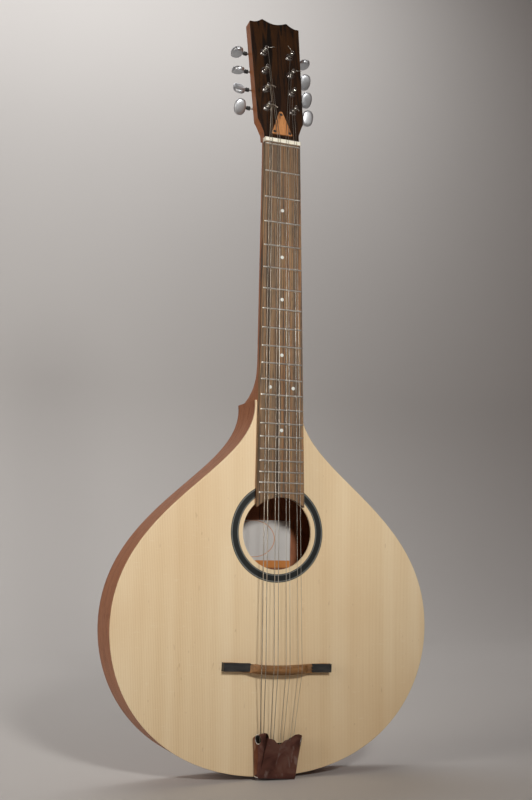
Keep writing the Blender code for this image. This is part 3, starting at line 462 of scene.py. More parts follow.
def label_finish(low_z, band_h):
    """Plain pale paper with one orange band along its foot and a thin orange arc."""
    look = Look("paper")
    x, _, z = look.split(look.grain())
    pulp = look.noise((1800, 1800, 1800), 4.0)
    stain = look.noise((40, 40, 40), 3.0)
    band = 1.0 - look.mask(z - low_z, band_h * 0.98, band_h * 1.02)
    lift = z - (low_z + 0.034)
    ring = (x + 0.008) ** 2 + (lift * 1.25) ** 2
    arc = look.mask(ring ** 0.5, 0.0262, 0.0266) - look.mask(ring ** 0.5, 0.0272, 0.0276)
    colour = look.mix(pulp * 0.35 + stain * 0.25, (0.70, 0.68, 0.66), (0.54, 0.52, 0.50))
    colour = look.mix(band.most(arc * 0.8), colour, (0.62, 0.23, 0.055))
    return look.wear(Base_Color=colour, Roughness=0.78 + pulp * 0.12, Normal=look.bump(pulp, 0.00004, 0.4))


def floor_finish():
    look = Look("floor", Roughness=0.75)
    cloud = look.noise(look.node("ShaderNodeTexCoord", None, None, output="Object"), 3.0)
    return look.wear(Base_Color=look.mix(cloud, (0.62, 0.60, 0.58), (0.57, 0.55, 0.53)))


SPRUCE = spruce_finish()
MAHOGANY = mahogany_finish("mahogany", (0.40, 0.150, 0.055), (0.235, 0.076, 0.028))
BACK_WOOD = mahogany_finish("back_mahogany", (0.36, 0.135, 0.062), (0.215, 0.072, 0.032), seam=0.0006)
NECK_WOOD = mahogany_finish("neck_mahogany", (0.40, 0.150, 0.058), (0.26, 0.090, 0.034))
ROSEWOOD = rosewood_finish()
STRIPED = striped_finish()
INNER_WOOD = plain_wood_finish("inner_wood", (0.62, 0.46, 0.29), (0.46, 0.31, 0.18), own_grain=False)
BRIDGE_WOOD = plain_wood_finish("bridge_wood", (0.33, 0.160, 0.052), (0.165, 0.074, 0.024), 0.35)
COVER_WOOD = plain_wood_finish("cover_wood", (0.58, 0.255, 0.085), (0.42, 0.165, 0.050), 0.75, 0.08)
ROSETTE = rosette_finish()
BONE = bone_finish()
PEARL = pearl_finish()
FRET_METAL = metal_finish("fret_metal", (0.86, 0.85, 0.80), 0.24, 0.10, 0.05, 0.1)
CHROME = metal_finish("chrome", (0.60, 0.585, 0.575), 0.035, 0.05, 0.0, 0.12)
TAIL_CHROME_PAINTED_REFLECTION = tail_chrome_finish()
NICKEL = metal_finish("nickel", (0.62, 0.60, 0.56), 0.14, 0.12, 0.05, 0.1)
SILVER = metal_finish("silver", (0.64, 0.66, 0.69), 0.34, 0.16, 0.05, 0.10)
# pale dull metal used as painted highlight along the tail cover's rims
PAINTED_HIGHLIGHT_METAL = metal_finish("painted_highlight_rim", (0.86, 0.85, 0.84), 0.32, 0.12)
STEEL = metal_finish("steel", (0.52, 0.52, 0.53), 0.30, 0.14, 0.06)
STEEL_ROD = metal_finish("steel_rod", (0.50, 0.50, 0.51), 0.35, 0.14, 0.06, own_grain=False)
BRASS = metal_finish("brass", (0.72, 0.52, 0.24), 0.30, 0.15, 0.05)
PLAIN_WIRE = wire_finish("plain_wire", False)
WOUND_WIRE = wire_finish("wound_wire", True)
EBONY = black_finish("ebony", 0.50)
BLACK_METAL = black_finish("black_metal", 0.30)
PAPER = label_finish(BRIDGE_Z + LABEL_LOW, 0.0085)


# ------------------------------------------------------------------ making pieces

def skin(bm, rows, around=False):
    """Faces between each row of vertices and the next; around joins the rows' ends too."""
    count = len(rows[0])
    for low, high in zip(rows, rows[1:]):
        for i in range(count if around else count - 1):
            j = (i + 1) % count
            bm.faces.new((low[i], low[j], high[j], high[i]))


def loft(name, loops):
    """Joins loops of equal count into a skin whose ends are closed by flat faces."""
    bm = bmesh.new()
    rows = [[bm.verts.new(point) for point in loop] for loop in loops]
    skin(bm, rows, True)
    bm.faces.new(rows[0][::-1])
    bm.faces.new(rows[-1])
    return raw(name, bm)


def raw(name, bm):
    bmesh.ops.recalc_face_normals(bm, faces=bm.faces)
    mesh = bpy.data.meshes.new(name)
    bm.to_mesh(mesh)
    bm.free()
    obj = bpy.data.objects.new(name, mesh)
    bpy.context.scene.collection.objects.link(obj)
    return obj


def settle(obj, look, body="instrument", stands_for=None, sharp=38, grain=None, weigh=True):
    """Gives a finished mesh its finish, its grain, its shading and the body it rides on."""
    mesh = obj.data
    mesh.materials.clear()
    mesh.materials.append(look.material)
    put_grain(mesh, grain)
    mesh.shade_smooth()
    mesh.set_sharp_from_angle(angle=math.radians(sharp))
    if weigh:
        even = obj.modifiers.new("Even flats", "WEIGHTED_NORMAL")
        even.keep_sharp = True
    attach(obj, body)
    if stands_for:
        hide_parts(stands_for)
    return obj


def put_grain(mesh, grain=None):
    """Writes each vertex's place across, behind and along the wood."""
    attribute = mesh.attributes.get("grain") or mesh.attributes.new("grain", "FLOAT_VECTOR", "POINT")
    for item, vertex in zip(attribute.data, mesh.vertices):
        item.vector = grain(vertex.co) if grain else vertex.co


def sideways(co):
    """Grain that runs along x."""
    return Vector((co.z, co.y, co.x))


def own_shape(obj):
    """Makes the result of a piece's modifiers its own mesh."""
    done = bpy.data.meshes.new_from_object(obj.evaluated_get(bpy.context.evaluated_depsgraph_get()))
    obj.modifiers.clear()
    obj.data = done


def carve(obj, cutter, operation="DIFFERENCE"):
    """Cuts or joins at once, and removes the cutter."""
    change = obj.modifiers.new("Carve", "BOOLEAN")
    change.operation = operation
    change.object = cutter
    own_shape(obj)
    bpy.data.objects.remove(cutter)
    return obj


def soften(obj, width, angle):
    """Rounds the edges that turn by more than the angle."""
    edges = obj.modifiers.new("Soft edges", "BEVEL")
    edges.width = width
    edges.segments = 2
    edges.limit_method = "ANGLE"
    edges.angle_limit = math.radians(angle)


def circle(centre, r, count):
    turns = [2 * PI * i / count for i in range(count)]
    return [(centre[0] + r * math.cos(a), centre[1] + r * math.sin(a)) for a in turns]


def arc(centre, r, start, sweep, steps):
    """Part of a circle. Its start and sweep are in quarter turns."""
    turns = [PI / 2 * (start + sweep * k / steps) for k in range(steps + 1)]
    return [(centre[0] + r * math.cos(a), centre[1] + r * math.sin(a)) for a in turns]


def inset(outline, amount):
    """The closed outline moved inward by amount."""
    count = len(outline)
    area = sum(outline[i - 1][0] * outline[i][1] - outline[i][0] * outline[i - 1][1] for i in range(count))
    way = 1 if area > 0 else -1
    moved = []
    for i, point in enumerate(outline):
        here = Vector(point)
        first = (here - Vector(outline[i - 1])).normalized()
        second = (Vector(outline[(i + 1) % count]) - here).normalized()
        sides = [Vector((-way * edge.y, way * edge.x)) for edge in (first, second)]
        push = (sides[0] + sides[1]) / max(0.4, 1 + sides[0].dot(sides[1]))
        moved.append(tuple(here + push * amount))
    return moved


def plate(name, outline, place, near, far, front=0.0004, rear=0.0, steps=3):
    """A plate of the outline between two depths, its front and rear edges rounded."""
    rows = arc((front, near + front), front, -1, -1, steps) if front else [(0.0, near)]
    rows += arc((rear, far - rear), rear, 2, -1, steps) if rear else [(0.0, far)]
    return loft(name, [[place(x, s, d) for x, s in inset(outline, amount)] for amount, d in rows])


def turned(name, place, centre, profile, count=32):
    """A turned piece; profile is (radius, depth) from end to end."""
    return loft(name, [[place(x, s, d) for x, s in circle(centre, r, count)] for r, d in profile])


def hollow_turned(name, place, centre, profile, count=40):
    """A turned ring whose closed profile (radius, depth) doesn't meet its axis."""
    bm = bmesh.new()
    rows = [[bm.verts.new(place(x, s, d)) for x, s in circle(centre, r, count)] for r, d in profile]
    skin(bm, rows + rows[:1], True)
    return raw(name, bm)


def mirrored(half):
    return half + [(-x, s) for x, s in reversed(half) if x > 1e-6]


def wire(name, points, radius, look, body="instrument", stands_for=None, sides=10):
    """A round wire along its points, closed at both ends."""
    points = [Vector(point) for point in points]
    loops, up = [], Vector((0.0, -1.0, 0.02)).normalized()
    for i, point in enumerate(points):
        along = (points[min(i + 1, len(points) - 1)] - points[max(i - 1, 0)]).normalized()
        across = along.cross(up).normalized()
        up = across.cross(along).normalized()
        turns = [2 * PI * k / sides for k in range(sides)]
        loops.append([point + radius * (math.cos(a) * across + math.sin(a) * up) for a in turns])
    return settle(loft(name, loops), look, body, stands_for, weigh=False, sharp=60)


# ------------------------------------------------------------------ body

def bezier(a, b, c, d, t):
    u = 1 - t
    weights = (u * u * u, 3 * u * u * t, 3 * u * t * t, t * t * t)
    return tuple(sum(w * p[k] for w, p in zip(weights, (a, b, c, d))) for k in (0, 1))


def side_curve(inward=0.0, steps=44):
    """The body's edge from the tail to the neck on the right, moved inward."""
    tail, widest, top = -TAIL_TO_BRIDGE, BRIDGE_TO_WIDEST, BRIDGE_TO_TOP
    low = ((0, tail), (0.1286, tail), (HALF_WIDTH, widest - 0.0832), (HALF_WIDTH, widest))
    high = ((HALF_WIDTH, widest), (HALF_WIDTH, widest + 0.138),
            (TOP_HALF - 0.009, top - 0.081), (TOP_HALF, top))
    fine = [bezier(*low, k / steps) for k in range(steps)]
    fine += [bezier(*high, k / steps) for k in range(steps + 1)]
    points = []
    for k, (x, s) in enumerate(fine):
        before, after = fine[max(k - 1, 0)], fine[min(k + 1, len(fine) - 1)]
        run = Vector((1, 0)) if k == 0 else Vector((after[0] - before[0], after[1] - before[1])).normalized()
        points.append((x - inward * run.y, s + inward * run.x))
    points[-1] = (points[-1][0], top)
    return points


def rib_grain():
    """Grain that follows the bent side: across the rib, through it, and along its length."""
    curve = [Vector(point) for point in side_curve(RIB_T / 2)]
    lengths = [0.0]
    for a, b in zip(curve, curve[1:]):
        lengths.append(lengths[-1] + (b - a).length)

    def place(co):
        here = Vector((abs(co.x), co.z - BRIDGE_Z))
        near = min(range(len(curve)), key=lambda k: (curve[k] - here).length_squared)
        low, high = max(near - 1, 0), min(near + 1, len(curve) - 1)
        along = (curve[high] - curve[low]).normalized()
        away = here - curve[near]
        through = abs(away.dot(Vector((along.y, -along.x))))
        return Vector((co.y, through, lengths[near] + away.dot(along) + (co.x > 0)))

    return place


def soundboard():
    board = plate("soundboard", mirrored(side_curve()), body_point, 0.0, SOUNDBOARD_T, 0.0007)
    carve(board, plate("hole", circle((0, HOLE_S), HOLE_R, 144), body_point, -0.01, 0.01, 0))
    ring = [(ROSETTE_IN - 0.00012, -0.01), (ROSETTE_OUT + 0.00012, -0.01),
            (ROSETTE_OUT + 0.00012, ROSETTE_T), (ROSETTE_IN - 0.00012, ROSETTE_T)]
    carve(board, hollow_turned("groove", body_point, (0, HOLE_S), ring, 144))
    settle(board, SPRUCE, stands_for="soundboard", sharp=30)
    soft = 0.00025
    ring = [(ROSETTE_IN, soft), (ROSETTE_IN + soft, -0.00004), (ROSETTE_OUT - soft, -0.00004),
            (ROSETTE_OUT, soft), (ROSETTE_OUT, ROSETTE_T), (ROSETTE_IN, ROSETTE_T)]
    rosette = hollow_turned("rosette", body_point, (0, HOLE_S), ring, 144)
    settle(rosette, ROSETTE, stands_for="rosette")


def ribs_and_back():
    near, far = SOUNDBOARD_T + 0.00006, BODY_DEPTH - BACK_T - 0.00006
    place = rib_grain()
    for side, word in ((-1, "left"), (1, "right")):
        rows = [(0.0003, near), (0.00006, near + 0.0001), (0.0, near + 0.0004)]
        rows += [(0.0, near + 0.0004 + (far - near - 0.0008) * k / 6) for k in range(1, 7)] + [(0.0003, far)]
        bm = bmesh.new()
        outer = [[bm.verts.new(body_point(side * max(x, 0.00005), s, d)) for x, s in side_curve(inward)]
                 for inward, d in rows]
        inner = [[bm.verts.new(body_point(side * max(x, 0.00005), s, d)) for x, s in side_curve(RIB_T)]
                 for d in (far, near)]
        rings = outer + inner
        skin(bm, rings + rings[:1])
        bm.faces.new([ring[0] for ring in rings])
        bm.faces.new([ring[-1] for ring in rings])
        rib = raw("rib_" + word, bm)
        settle(rib, MAHOGANY, stands_for="rib_" + word, grain=place, sharp=30)
    back = plate("back", mirrored(side_curve()), body_point, BODY_DEPTH - BACK_T, BODY_DEPTH, 0.0, 0.0011)
    settle(back, BACK_WOOD, stands_for="back", sharp=30)


def label():
    """A sheet of paper glued to the back, its corners lifted a little."""
    wide, tall, level, count = 0.072, 0.056, BODY_DEPTH - BACK_T - 0.0003, 12
    bm = bmesh.new()
    grid = []
    for face in (0, 1):
        rows = []
        for i in range(count + 1):
            row = []
            for j in range(count + 1):
                x, s = wide * (i / count - 0.5) + LABEL_X, LABEL_LOW + tall * j / count
                lift = 0.0006 * (abs(2 * i / count - 1) ** 6 + abs(2 * j / count - 1) ** 6)
                row.append(bm.verts.new(body_point(x, s, level - lift - 0.00012 * face)))
            rows.append(row)
        skin(bm, rows)
        grid.append(rows)
    rims = []
    for rows in grid:
        near, far = [row[0] for row in rows], [row[-1] for row in rows]
        rims.append(near + rows[-1][1:] + far[-2::-1] + rows[0][-2:0:-1])
    skin(bm, rims, True)
    settle(raw("label", bm), PAPER, stands_for="label", sharp=60)


def inside():
    """The linings, blocks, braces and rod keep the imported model's own shapes."""
    for name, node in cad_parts.items():
        wooden = name.startswith(("lining", "top_brace", "back_brace")) or name.endswith("_block")
        if wooden or name in ("truss_rod", "truss_nut"):
            node.data.materials.clear()
            node.data.materials.append((INNER_WOOD if wooden else STEEL_ROD).material)


# ------------------------------------------------------------------ neck and headstock

def board_half(s):
    along = (NUT_S - s) / (NUT_S - BOARD_END_S)
    return (0.046 + 0.012 * along) / 2


def fret_s(number):
    return SCALE * 2 ** (-number / 12)


def scoop_circle(extra=0.0):
    half = board_half(BOARD_END_S)
    radius = (half * half + BOARD_SCOOP * BOARD_SCOOP) / (2 * BOARD_SCOOP)
    return circle((0.0, BOARD_END_S + BOARD_SCOOP - radius), radius + extra, 160)


def neck_depth(s):
    along = (NUT_S - s) / (NUT_S - JOINT_S - 0.072)
    plain = 0.0135 + 0.004 * min(along, 1.0)
    near = max(0.0, 1 - (s - BRIDGE_TO_TOP - 0.0003) / 0.050)
    return plain + (BODY_DEPTH + FRET_PLANE - BOARD_D - 0.0003 - plain) * near ** 2.6


def neck_section(s, steps=36):
    depth = neck_depth(max(s, BRIDGE_TO_TOP))
    half = board_half(min(s, NUT_S))
    heel = BODY_DEPTH + FRET_PLANE - BOARD_D
    power = min(0.75, 0.75 - 0.50 * (depth - 0.0175) / (heel - 0.0175))
    points = []
    for k in range(steps + 1):
        t = PI * k / steps
        x = half * math.copysign(abs(math.cos(t)) ** power, math.cos(t))
        points.append(neck_point(x, s, BOARD_D + 0.00005 + depth * math.sin(t) ** power))
    return points


def head_outline():
    points = [(0.0225, 0.0), (0.0225, 0.0055), (0.02258, 0.0072), (0.0228, 0.0088), (0.0233, 0.0104),
              (0.0241, 0.0124), (0.0260, 0.0178), (0.0280, 0.0226), (0.0287, 0.0240), (0.0292, 0.0251),
              (0.0295, 0.0262), (0.0297, 0.0285), (0.0329, POST_TOP + 0.0435)]
    top, peak = POST_TOP + 0.0435, POST_TOP + 0.0495
    for k in range(1, 10):
        t = k / 10
        points.append((0.0329 + (0.0163 - 0.0329) * t, top + (peak - top) * t - 0.0022 * math.sin(PI * t)))
    for k in range(15):
        t = k / 14
        points.append((0.0163 * (1 - t), peak - 0.0048 * math.sin(PI * t / 2)))
    return mirrored(points)


def post_places():
    order = [(-1, 3), (-1, 2), (-1, 1), (-1, 0), (1, 0), (1, 1), (1, 2), (1, 3)]
    return [(side, side * POST_X, POST_TOP - POST_PITCH * row) for side, row in order]


def block(low_x, high_x, low_s, high_s, place, near, far):
    outline = [(low_x, low_s), (high_x, low_s), (high_x, high_s), (low_x, high_s)]
    return plate("cutter", outline, place, near, far, 0)


def body_room():
    """The room that the body takes under the neck."""
    return block(-0.1, 0.1, 0.0, BRIDGE_TO_TOP + 0.0001, body_point, -0.0001, 0.1)


def post_holes(piece, depth):
    for _, x, u in post_places():
        carve(piece, plate("hole", circle((x, u), POST_HOLE_R, 32), head_point, -0.002, depth, 0))


def neck():
    foot = BRIDGE_TO_TOP - 0.002
    rows = [foot + 0.050 * (k / 30) ** 1.2 for k in range(31)]
    rows += [foot + 0.050 + (HEAD_S + 0.002 - foot - 0.050) * k / 12 for k in range(1, 13)]
    shaft = loft("neck", [neck_section(s) for s in rows])
    carve(shaft, plate("core", head_outline(), head_point, HEADPLATE_T + 0.00005, HEAD_T, 0, 0.0012), "UNION")
    carve(shaft, body_room())
    ends = (BOARD_END_S + 0.0015, BRIDGE_TO_TOP + 0.01)
    under_board = mirrored([(board_half(s) - 0.0015, s) for s in ends])
    tongue = plate("tongue", under_board, neck_point, BOARD_D + 0.00005, 0.020, 0)
    carve(tongue, body_room())
    carve(tongue, plate("scoop", scoop_circle(0.0015), neck_point, -0.001, 0.03, 0))
    carve(shaft, tongue, "UNION")
    carve(shaft, block(-0.03, 0.03, NUT_S - 0.003, NUT_S + NUT_T + 0.0001, neck_point, -0.01, BOARD_D))
    pocket_s = SCALE + 0.015
    carve(shaft, block(-0.0033, 0.0033, JOINT_S + 0.0267, pocket_s + 0.002, neck_point, 0.0066, 0.0152))
    post_holes(shaft, HEAD_T + 0.002)
    settle(shaft, NECK_WOOD, stands_for="neck", sharp=32)
    face = plate("headplate", head_outline(), head_point, 0.0, HEADPLATE_T, 0.0005)
    post_holes(face, 0.004)
    settle(face, ROSEWOOD, stands_for="headplate", sharp=30)


def fingerboard():
    """A flat board with softened long edges and a hollowed lower end."""
    rows = []
    count = 24
    for k in range(count + 1):
        s = BOARD_END_S + (NUT_S - 0.0001 - BOARD_END_S) * k / count
        half, soft = board_half(s), 0.0006
        side = [(half, BOARD_D)] + arc((half - soft, FRET_H + soft), soft, 0, -1, 3)
        rows.append([neck_point(x, s, d) for x, d in side + [(-x, d) for x, d in reversed(side)]])
    board = loft("fingerboard", rows)
    carve(board, plate("scoop", scoop_circle(), neck_point, -0.01, 0.02, 0))
    settle(board, STRIPED, stands_for="fingerboard", sharp=30)


def fret_rows(s, half):
    """A crowned wire with its ends filed to a slope."""
    wide, rows = 0.00085, []
    profile = [(-wide, 0.0010), (-wide * 0.94, 0.00055)]
    for k in range(1, 8):
        a = PI * k / 8
        profile.append((-wide * 0.86 * math.cos(a), 0.00045 - 0.00045 * math.sin(a)))
    profile += [(wide * 0.94, 0.00055), (wide, 0.0010), (wide * 0.4, 0.0016), (-wide * 0.4, 0.0016)]
    for x, low in ((-half, 1.0), (-half + 0.00025, 0.62), (-half + 0.0008, 0.0),
                   (half - 0.0008, 0.0), (half - 0.00025, 0.62), (half, 1.0)):
        floor = 0.00088 * low
        rows.append([neck_point(x, s + run * (1 - 0.12 * low), max(d, floor)) for run, d in profile])
    return rows


def frets():
    for number in range(FRETS + 1):
        s = fret_s(number)
        crowned = loft(f"fret_{number}", fret_rows(s, board_half(s) - 0.0011))
        settle(crowned, FRET_METAL, sharp=40, weigh=False)
    for number in (3, 5, 7, 10, 12, 15):
        middle = (fret_s(number) + fret_s(number - 1)) / 2
        places = [(-0.0145, middle), (0.0145, middle)] if number == 12 else [(0.0, middle)]
        for k, centre in enumerate(places):
            profile = [(0.0004, FRET_H - 0.00007), (0.0014, FRET_H - 0.00006), (0.00205, FRET_H - 0.00003),
                       (0.00215, FRET_H + 0.00005), (0.00215, FRET_H + 0.0006)]
            settle(turned(f"dot_{number}_{k + 1}", neck_point, centre, profile, 28), PEARL)


def string_xs(course, pair):
    """Each string's place across, from the spacing of the pairs and of the two in a pair."""
    return [course * (k - 1.5) + side * pair / 2 for k in range(4) for side in (-1, 1)]


def nut():
    """A bone bar with a rounded back and a slot for each string."""
    rows = []
    crown = ((0.0, 0.0002), (0.0003, 0.0), (0.0020, 0.0),
             (0.0034, 0.0001), (0.0044, 0.0004), (0.0050, 0.0010))
    for run, drop in crown:
        high = drop - 0.0012
        right = [(0.0230, BOARD_D), (0.0230, high + 0.0008), (0.0227, high + 0.0003), (0.0220, high)]
        slots = []
        for x, r in reversed(list(zip(string_xs(*NUT_SPACING), STRING_R))):
            wide = r + 0.00012
            slots += arc((x, 0.0002 - 2 * r + drop * 0.4), wide, 0, 2, 4)
            slots.insert(-5, (x + wide * 1.15, high))
            slots.append((x - wide * 1.15, high))
        left = [(-x, d) for x, d in reversed(right)]
        rows.append([neck_point(x, NUT_S + run, d) for x, d in right + slots + left])
    settle(loft("nut", rows), BONE, stands_for="nut", sharp=35, grain=sideways)


def cross_screw(name, place, centre, radius, top, depth, look, body="instrument", node=None):
    """A domed screw head with a cross cut into it and a plain shank behind."""
    profile = [(radius * 0.15, top - 0.00075), (radius * 0.55, top - 0.00068), (radius * 0.85, top - 0.00045),
               (radius, top - 0.0001), (radius, top), (radius * 0.5, top), (radius * 0.45, depth)]
    screw = turned(name, place, centre, profile, 28)
    long, thin = radius * 0.62, radius * 0.14
    x, s = centre
    for wide, tall in ((long, thin), (thin, long)):
        carve(screw, block(x - wide, x + wide, s - tall, s + tall, place, top - 0.002, top - 0.00028))
    settle(screw, look, body, stands_for=node, sharp=40, weigh=False)


def truss_cover():
    tip = arc((0.0, 0.0345), 0.0030, 0, 1, 8)
    corner = arc((0.0120, 0.0067), 0.0012, -1, 1.2, 6)
    cover = plate("truss_cover", mirrored(corner + tip), head_point, -0.0021, -0.00005, 0.0006)
    settle(cover, COVER_WOOD, stands_for="truss_cover", sharp=40)
    for number, (x, u) in enumerate(((0.0, 0.0330), (-0.0099, 0.0086), (0.0099, 0.0086)), 1):
        cross_screw(f"cover_screw_{number}", head_point, (x, u), 0.0019, -0.0021, 0.0012, BLACK_METAL,
                    node=f"cover_screw_{number}")


# ------------------------------------------------------------------ tuning machines

def post_piece(number, x, u):
    """A turned post with a waist for the string, and the gear on its back end."""
    back = GEAR_D + GEAR_T
    body = f"post_{number}"
    profile = [(0.0004, -0.01120), (0.0018, -0.01118), (0.0024, -0.01095), (0.0027, -0.0105),
               (0.0027, -0.0100), (0.00255, -0.0096), (0.0021, -0.0092), (0.0019, -0.0088),
               (0.00185, -0.0067), (0.0019, -0.0045), (0.0021, -0.0041), (0.0024, -0.0039),
               (0.0025, -0.0036), (0.0025, back + 0.0002), (0.0017, back + 0.0010)]
    post = turned(f"string_post_{number}", head_point, (x, u), profile, 36)
    carve(post, block(x - 0.00035, x + 0.00035, u - 0.004, u + 0.004, head_point, -0.0130, -0.0104))
    settle(post, NICKEL, body, stands_for=f"string_post_{number}", sharp=40, weigh=False)
    tooth = ((0.00, 0.0044), (0.22, 0.0044), (0.36, 0.0051), (0.44, GEAR_R), (0.62, GEAR_R), (0.70, 0.0051))
    teeth = []
    for k in range(GEAR_TEETH):
        for part, r in tooth:
            angle = 2 * PI * (k + part + 0.20) / GEAR_TEETH
            teeth.append((x + r * math.cos(angle), u + r * math.sin(angle)))
    gear = plate(f"gear_{number}", teeth, head_point, GEAR_D, back, 0.00015, 0.00015)
    settle(gear, BRASS, body, sharp=35, weigh=False)
    cross_screw(f"gear_screw_{number}", lambda a, b, d: head_point(a, b, back + 0.0009 - d), (x, u), 0.0021,
                0.0, 0.0012, STEEL, body)


def key_loop(at, out, wide, thick, turn=0.0, sides=24, square=(1, 1)):
    """A loop round a key's shaft, out from the post; square below 1 fills out its corners."""
    side, x, u = at
    loop = []
    for k in range(sides):
        a = 2 * PI * k / sides
        p = wide * math.copysign(abs(math.cos(a)) ** square[0], math.cos(a))
        q = thick * math.copysign(abs(math.sin(a)) ** square[1], math.sin(a))
        v = p * math.cos(turn) - q * math.sin(turn)
        w = p * math.sin(turn) + q * math.cos(turn)
        loop.append(head_point(x + side * out, u + WORM_OFFSET + v, WORM_D + w))
    return loop


def worm_loops(at, sides=24, steps=36):
    """The worm's cut part, its ridge winding round it and fading at both ends."""
    side, x, u = at
    loops = []
    for k in range(steps + 1):
        out = -0.0045 + 0.0090 * k / steps
        end = min(1.0, k / 4, (steps - k) / 4)
        loop = []
        for i in range(sides):
            a = 2 * PI * i / sides
            ridge = 0.5 + 0.5 * math.cos(2 * PI * out / 0.0018 - a)
            r = 0.00125 + 0.00062 * ridge ** 0.7 * end
            v, w = r * math.cos(a), r * math.sin(a)
            loop.append(head_point(x + side * out, u + WORM_OFFSET + v, WORM_D + w))
        loops.append(loop)
    return loops


def button_loops(at, turn):
    """A plump oval button, standing at its turn."""
    loops = []
    for k in range(33):
        t = -math.cos(PI * k / 32) * 0.9985
        full = (1 - abs(t) ** 2.3) ** (1 / 2.3)
        wide, thick = 0.0100 * max(full ** 0.95, 0.20), 0.0033 * max(full, 0.12) ** 0.40
        loops.append(key_loop(at, 0.0207 + 0.0143 * (t + 1) / 2, wide, thick, turn, 44, (0.80, 0.55)))
    return loops


def key_piece(number, at, turn):
    """The cut worm on its shaft, a black collar with two rings, and the oval button."""
    body = f"key_{number}"
    inner = ((-0.0078, 0.0009), (-0.0076, SHAFT_R), (-0.0046, SHAFT_R))
    loops = [key_loop(at, out, r, r) for out, r in inner]
    loops += worm_loops(at) + [key_loop(at, out, SHAFT_R, SHAFT_R) for out in (0.0046, 0.0225)]
    settle(loft(f"tuner_key_{number}", loops), STEEL, body, stands_for=f"tuner_key_{number}",
           sharp=45, weigh=False)
    rings = [(0.0146, 0.0016), (0.0148, 0.0021), (0.0152, 0.0026), (0.0164, 0.0026), (0.0166, 0.0020),
             (0.0173, 0.0020), (0.0175, 0.0026), (0.0186, 0.0026), (0.0188, 0.0020), (0.0204, 0.0019),
             (0.0208, 0.0015)]
    collar = loft(f"collar_{number}", [key_loop(at, out, r, r, sides=32) for out, r in rings])
    settle(collar, BLACK_METAL, body, sharp=40, weigh=False)
    button = loft(f"button_{number}", button_loops(at, turn))
    settle(button, SILVER, body, sharp=60, weigh=False)


def tuner_plate(side, word):
    x = side * POST_X
    low, high = POST_LOW - 0.011, POST_TOP + 0.014
    half, r = 0.009, 0.003
    middles = ((half - r, low + r), (half - r, high - r), (r - half, high - r), (r - half, low + r))
    outline = []
    for start, (out, s) in enumerate(middles, -1):
        outline += arc((x + out, s), r, start, 1, 6)
    strip = plate("tuner_plate_" + word, outline, head_point, PLATE_D - 0.0002, PLATE_D + 0.001, 0, 0.0003)
    for row in range(4):
        u = POST_TOP - POST_PITCH * row
        ring = circle((x, u), POST_HOLE_R, 28)
        carve(strip, plate("hole", ring, head_point, PLATE_D - 0.002, PLATE_D + 0.003, 0))
        for out in (-0.0066, 0.0066):
            settle(lug_piece(x + out, u + WORM_OFFSET), NICKEL, sharp=35)
    settle(strip, NICKEL, stands_for="tuner_plate_" + word, sharp=35)
    between = POST_PITCH / 2 + 0.001
    seats = (low + 0.003, POST_TOP - between, POST_LOW + POST_PITCH - between, high - 0.0025)
    for k, s in enumerate(seats, 1):
        cross_screw(f"plate_screw_{word}_{k}", lambda a, b, d: head_point(a, b, PLATE_D + 0.00105 - d),
                    (x - side * 0.0064, s), 0.0015, 0.0, 0.004, STEEL)


def lug_piece(x, u):
    """An upright ear with a round top, bored for the worm shaft."""
    profile = [(u - 0.0027, PLATE_D + 0.0009), (u + 0.0027, PLATE_D + 0.0009)]
    profile += arc((u, WORM_D), 0.0027, 0, 2, 12)
    lug = loft("lug", [[head_point(x + t, s, d) for s, d in profile] for t in (-0.0006, 0.0006)])
    ring = circle((u, WORM_D), 0.00125, 20)
    return carve(lug, loft("bore", [[head_point(x + t, s, d) for s, d in ring] for t in (-0.002, 0.002)]))


def machines():
    for number, (at, turn) in enumerate(zip(post_places(), BUTTON_TURNS), 1):
        x, u = at[1:]
        post_piece(number, x, u)
        key_piece(number, at, math.radians(turn))
        ring = [(0.00275, -0.0012), (0.0030, -0.0014), (0.0036, -0.0014), (0.0040, -0.0010),
                (0.0042, -0.0006), (0.0052, -0.0005), (0.0054, -0.0002), (0.0054, 0.0), (0.00275, 0.0)]
        bushing = hollow_turned(f"bushing_{number}", head_point, (x, u), ring)
        settle(bushing, CHROME, weigh=False)
    tuner_plate(-1, "left")
    tuner_plate(1, "right")


# ------------------------------------------------------------------ bridge

def ease(t):
    t = max(0.0, min(1.0, t))
    return t * t * (3 - 2 * t)


def bridge_height(x):
    rise = (0.0362 - abs(x)) / 0.0105
    return WING_H + (BRIDGE_H - WING_H) * ease(rise) ** 0.9


def bridge_edge(x):
    """The crown's upper edge, stepped for each pair of strings, with a raised shoulder on the left."""
    edge, before = 0.0031, 0.0
    for k, level in enumerate((-0.0004, -0.0016, 0.0016, -0.0006)):
        edge += (level - before) * ease((x - 0.0147 * (k - 2)) / 0.0012 + 0.5)
        before = level
    edge += 0.0030 * ease((x - 0.0245) / 0.0012 + 0.5)
    return edge + 0.0034 * ease((-0.0235 - x) / 0.0050)


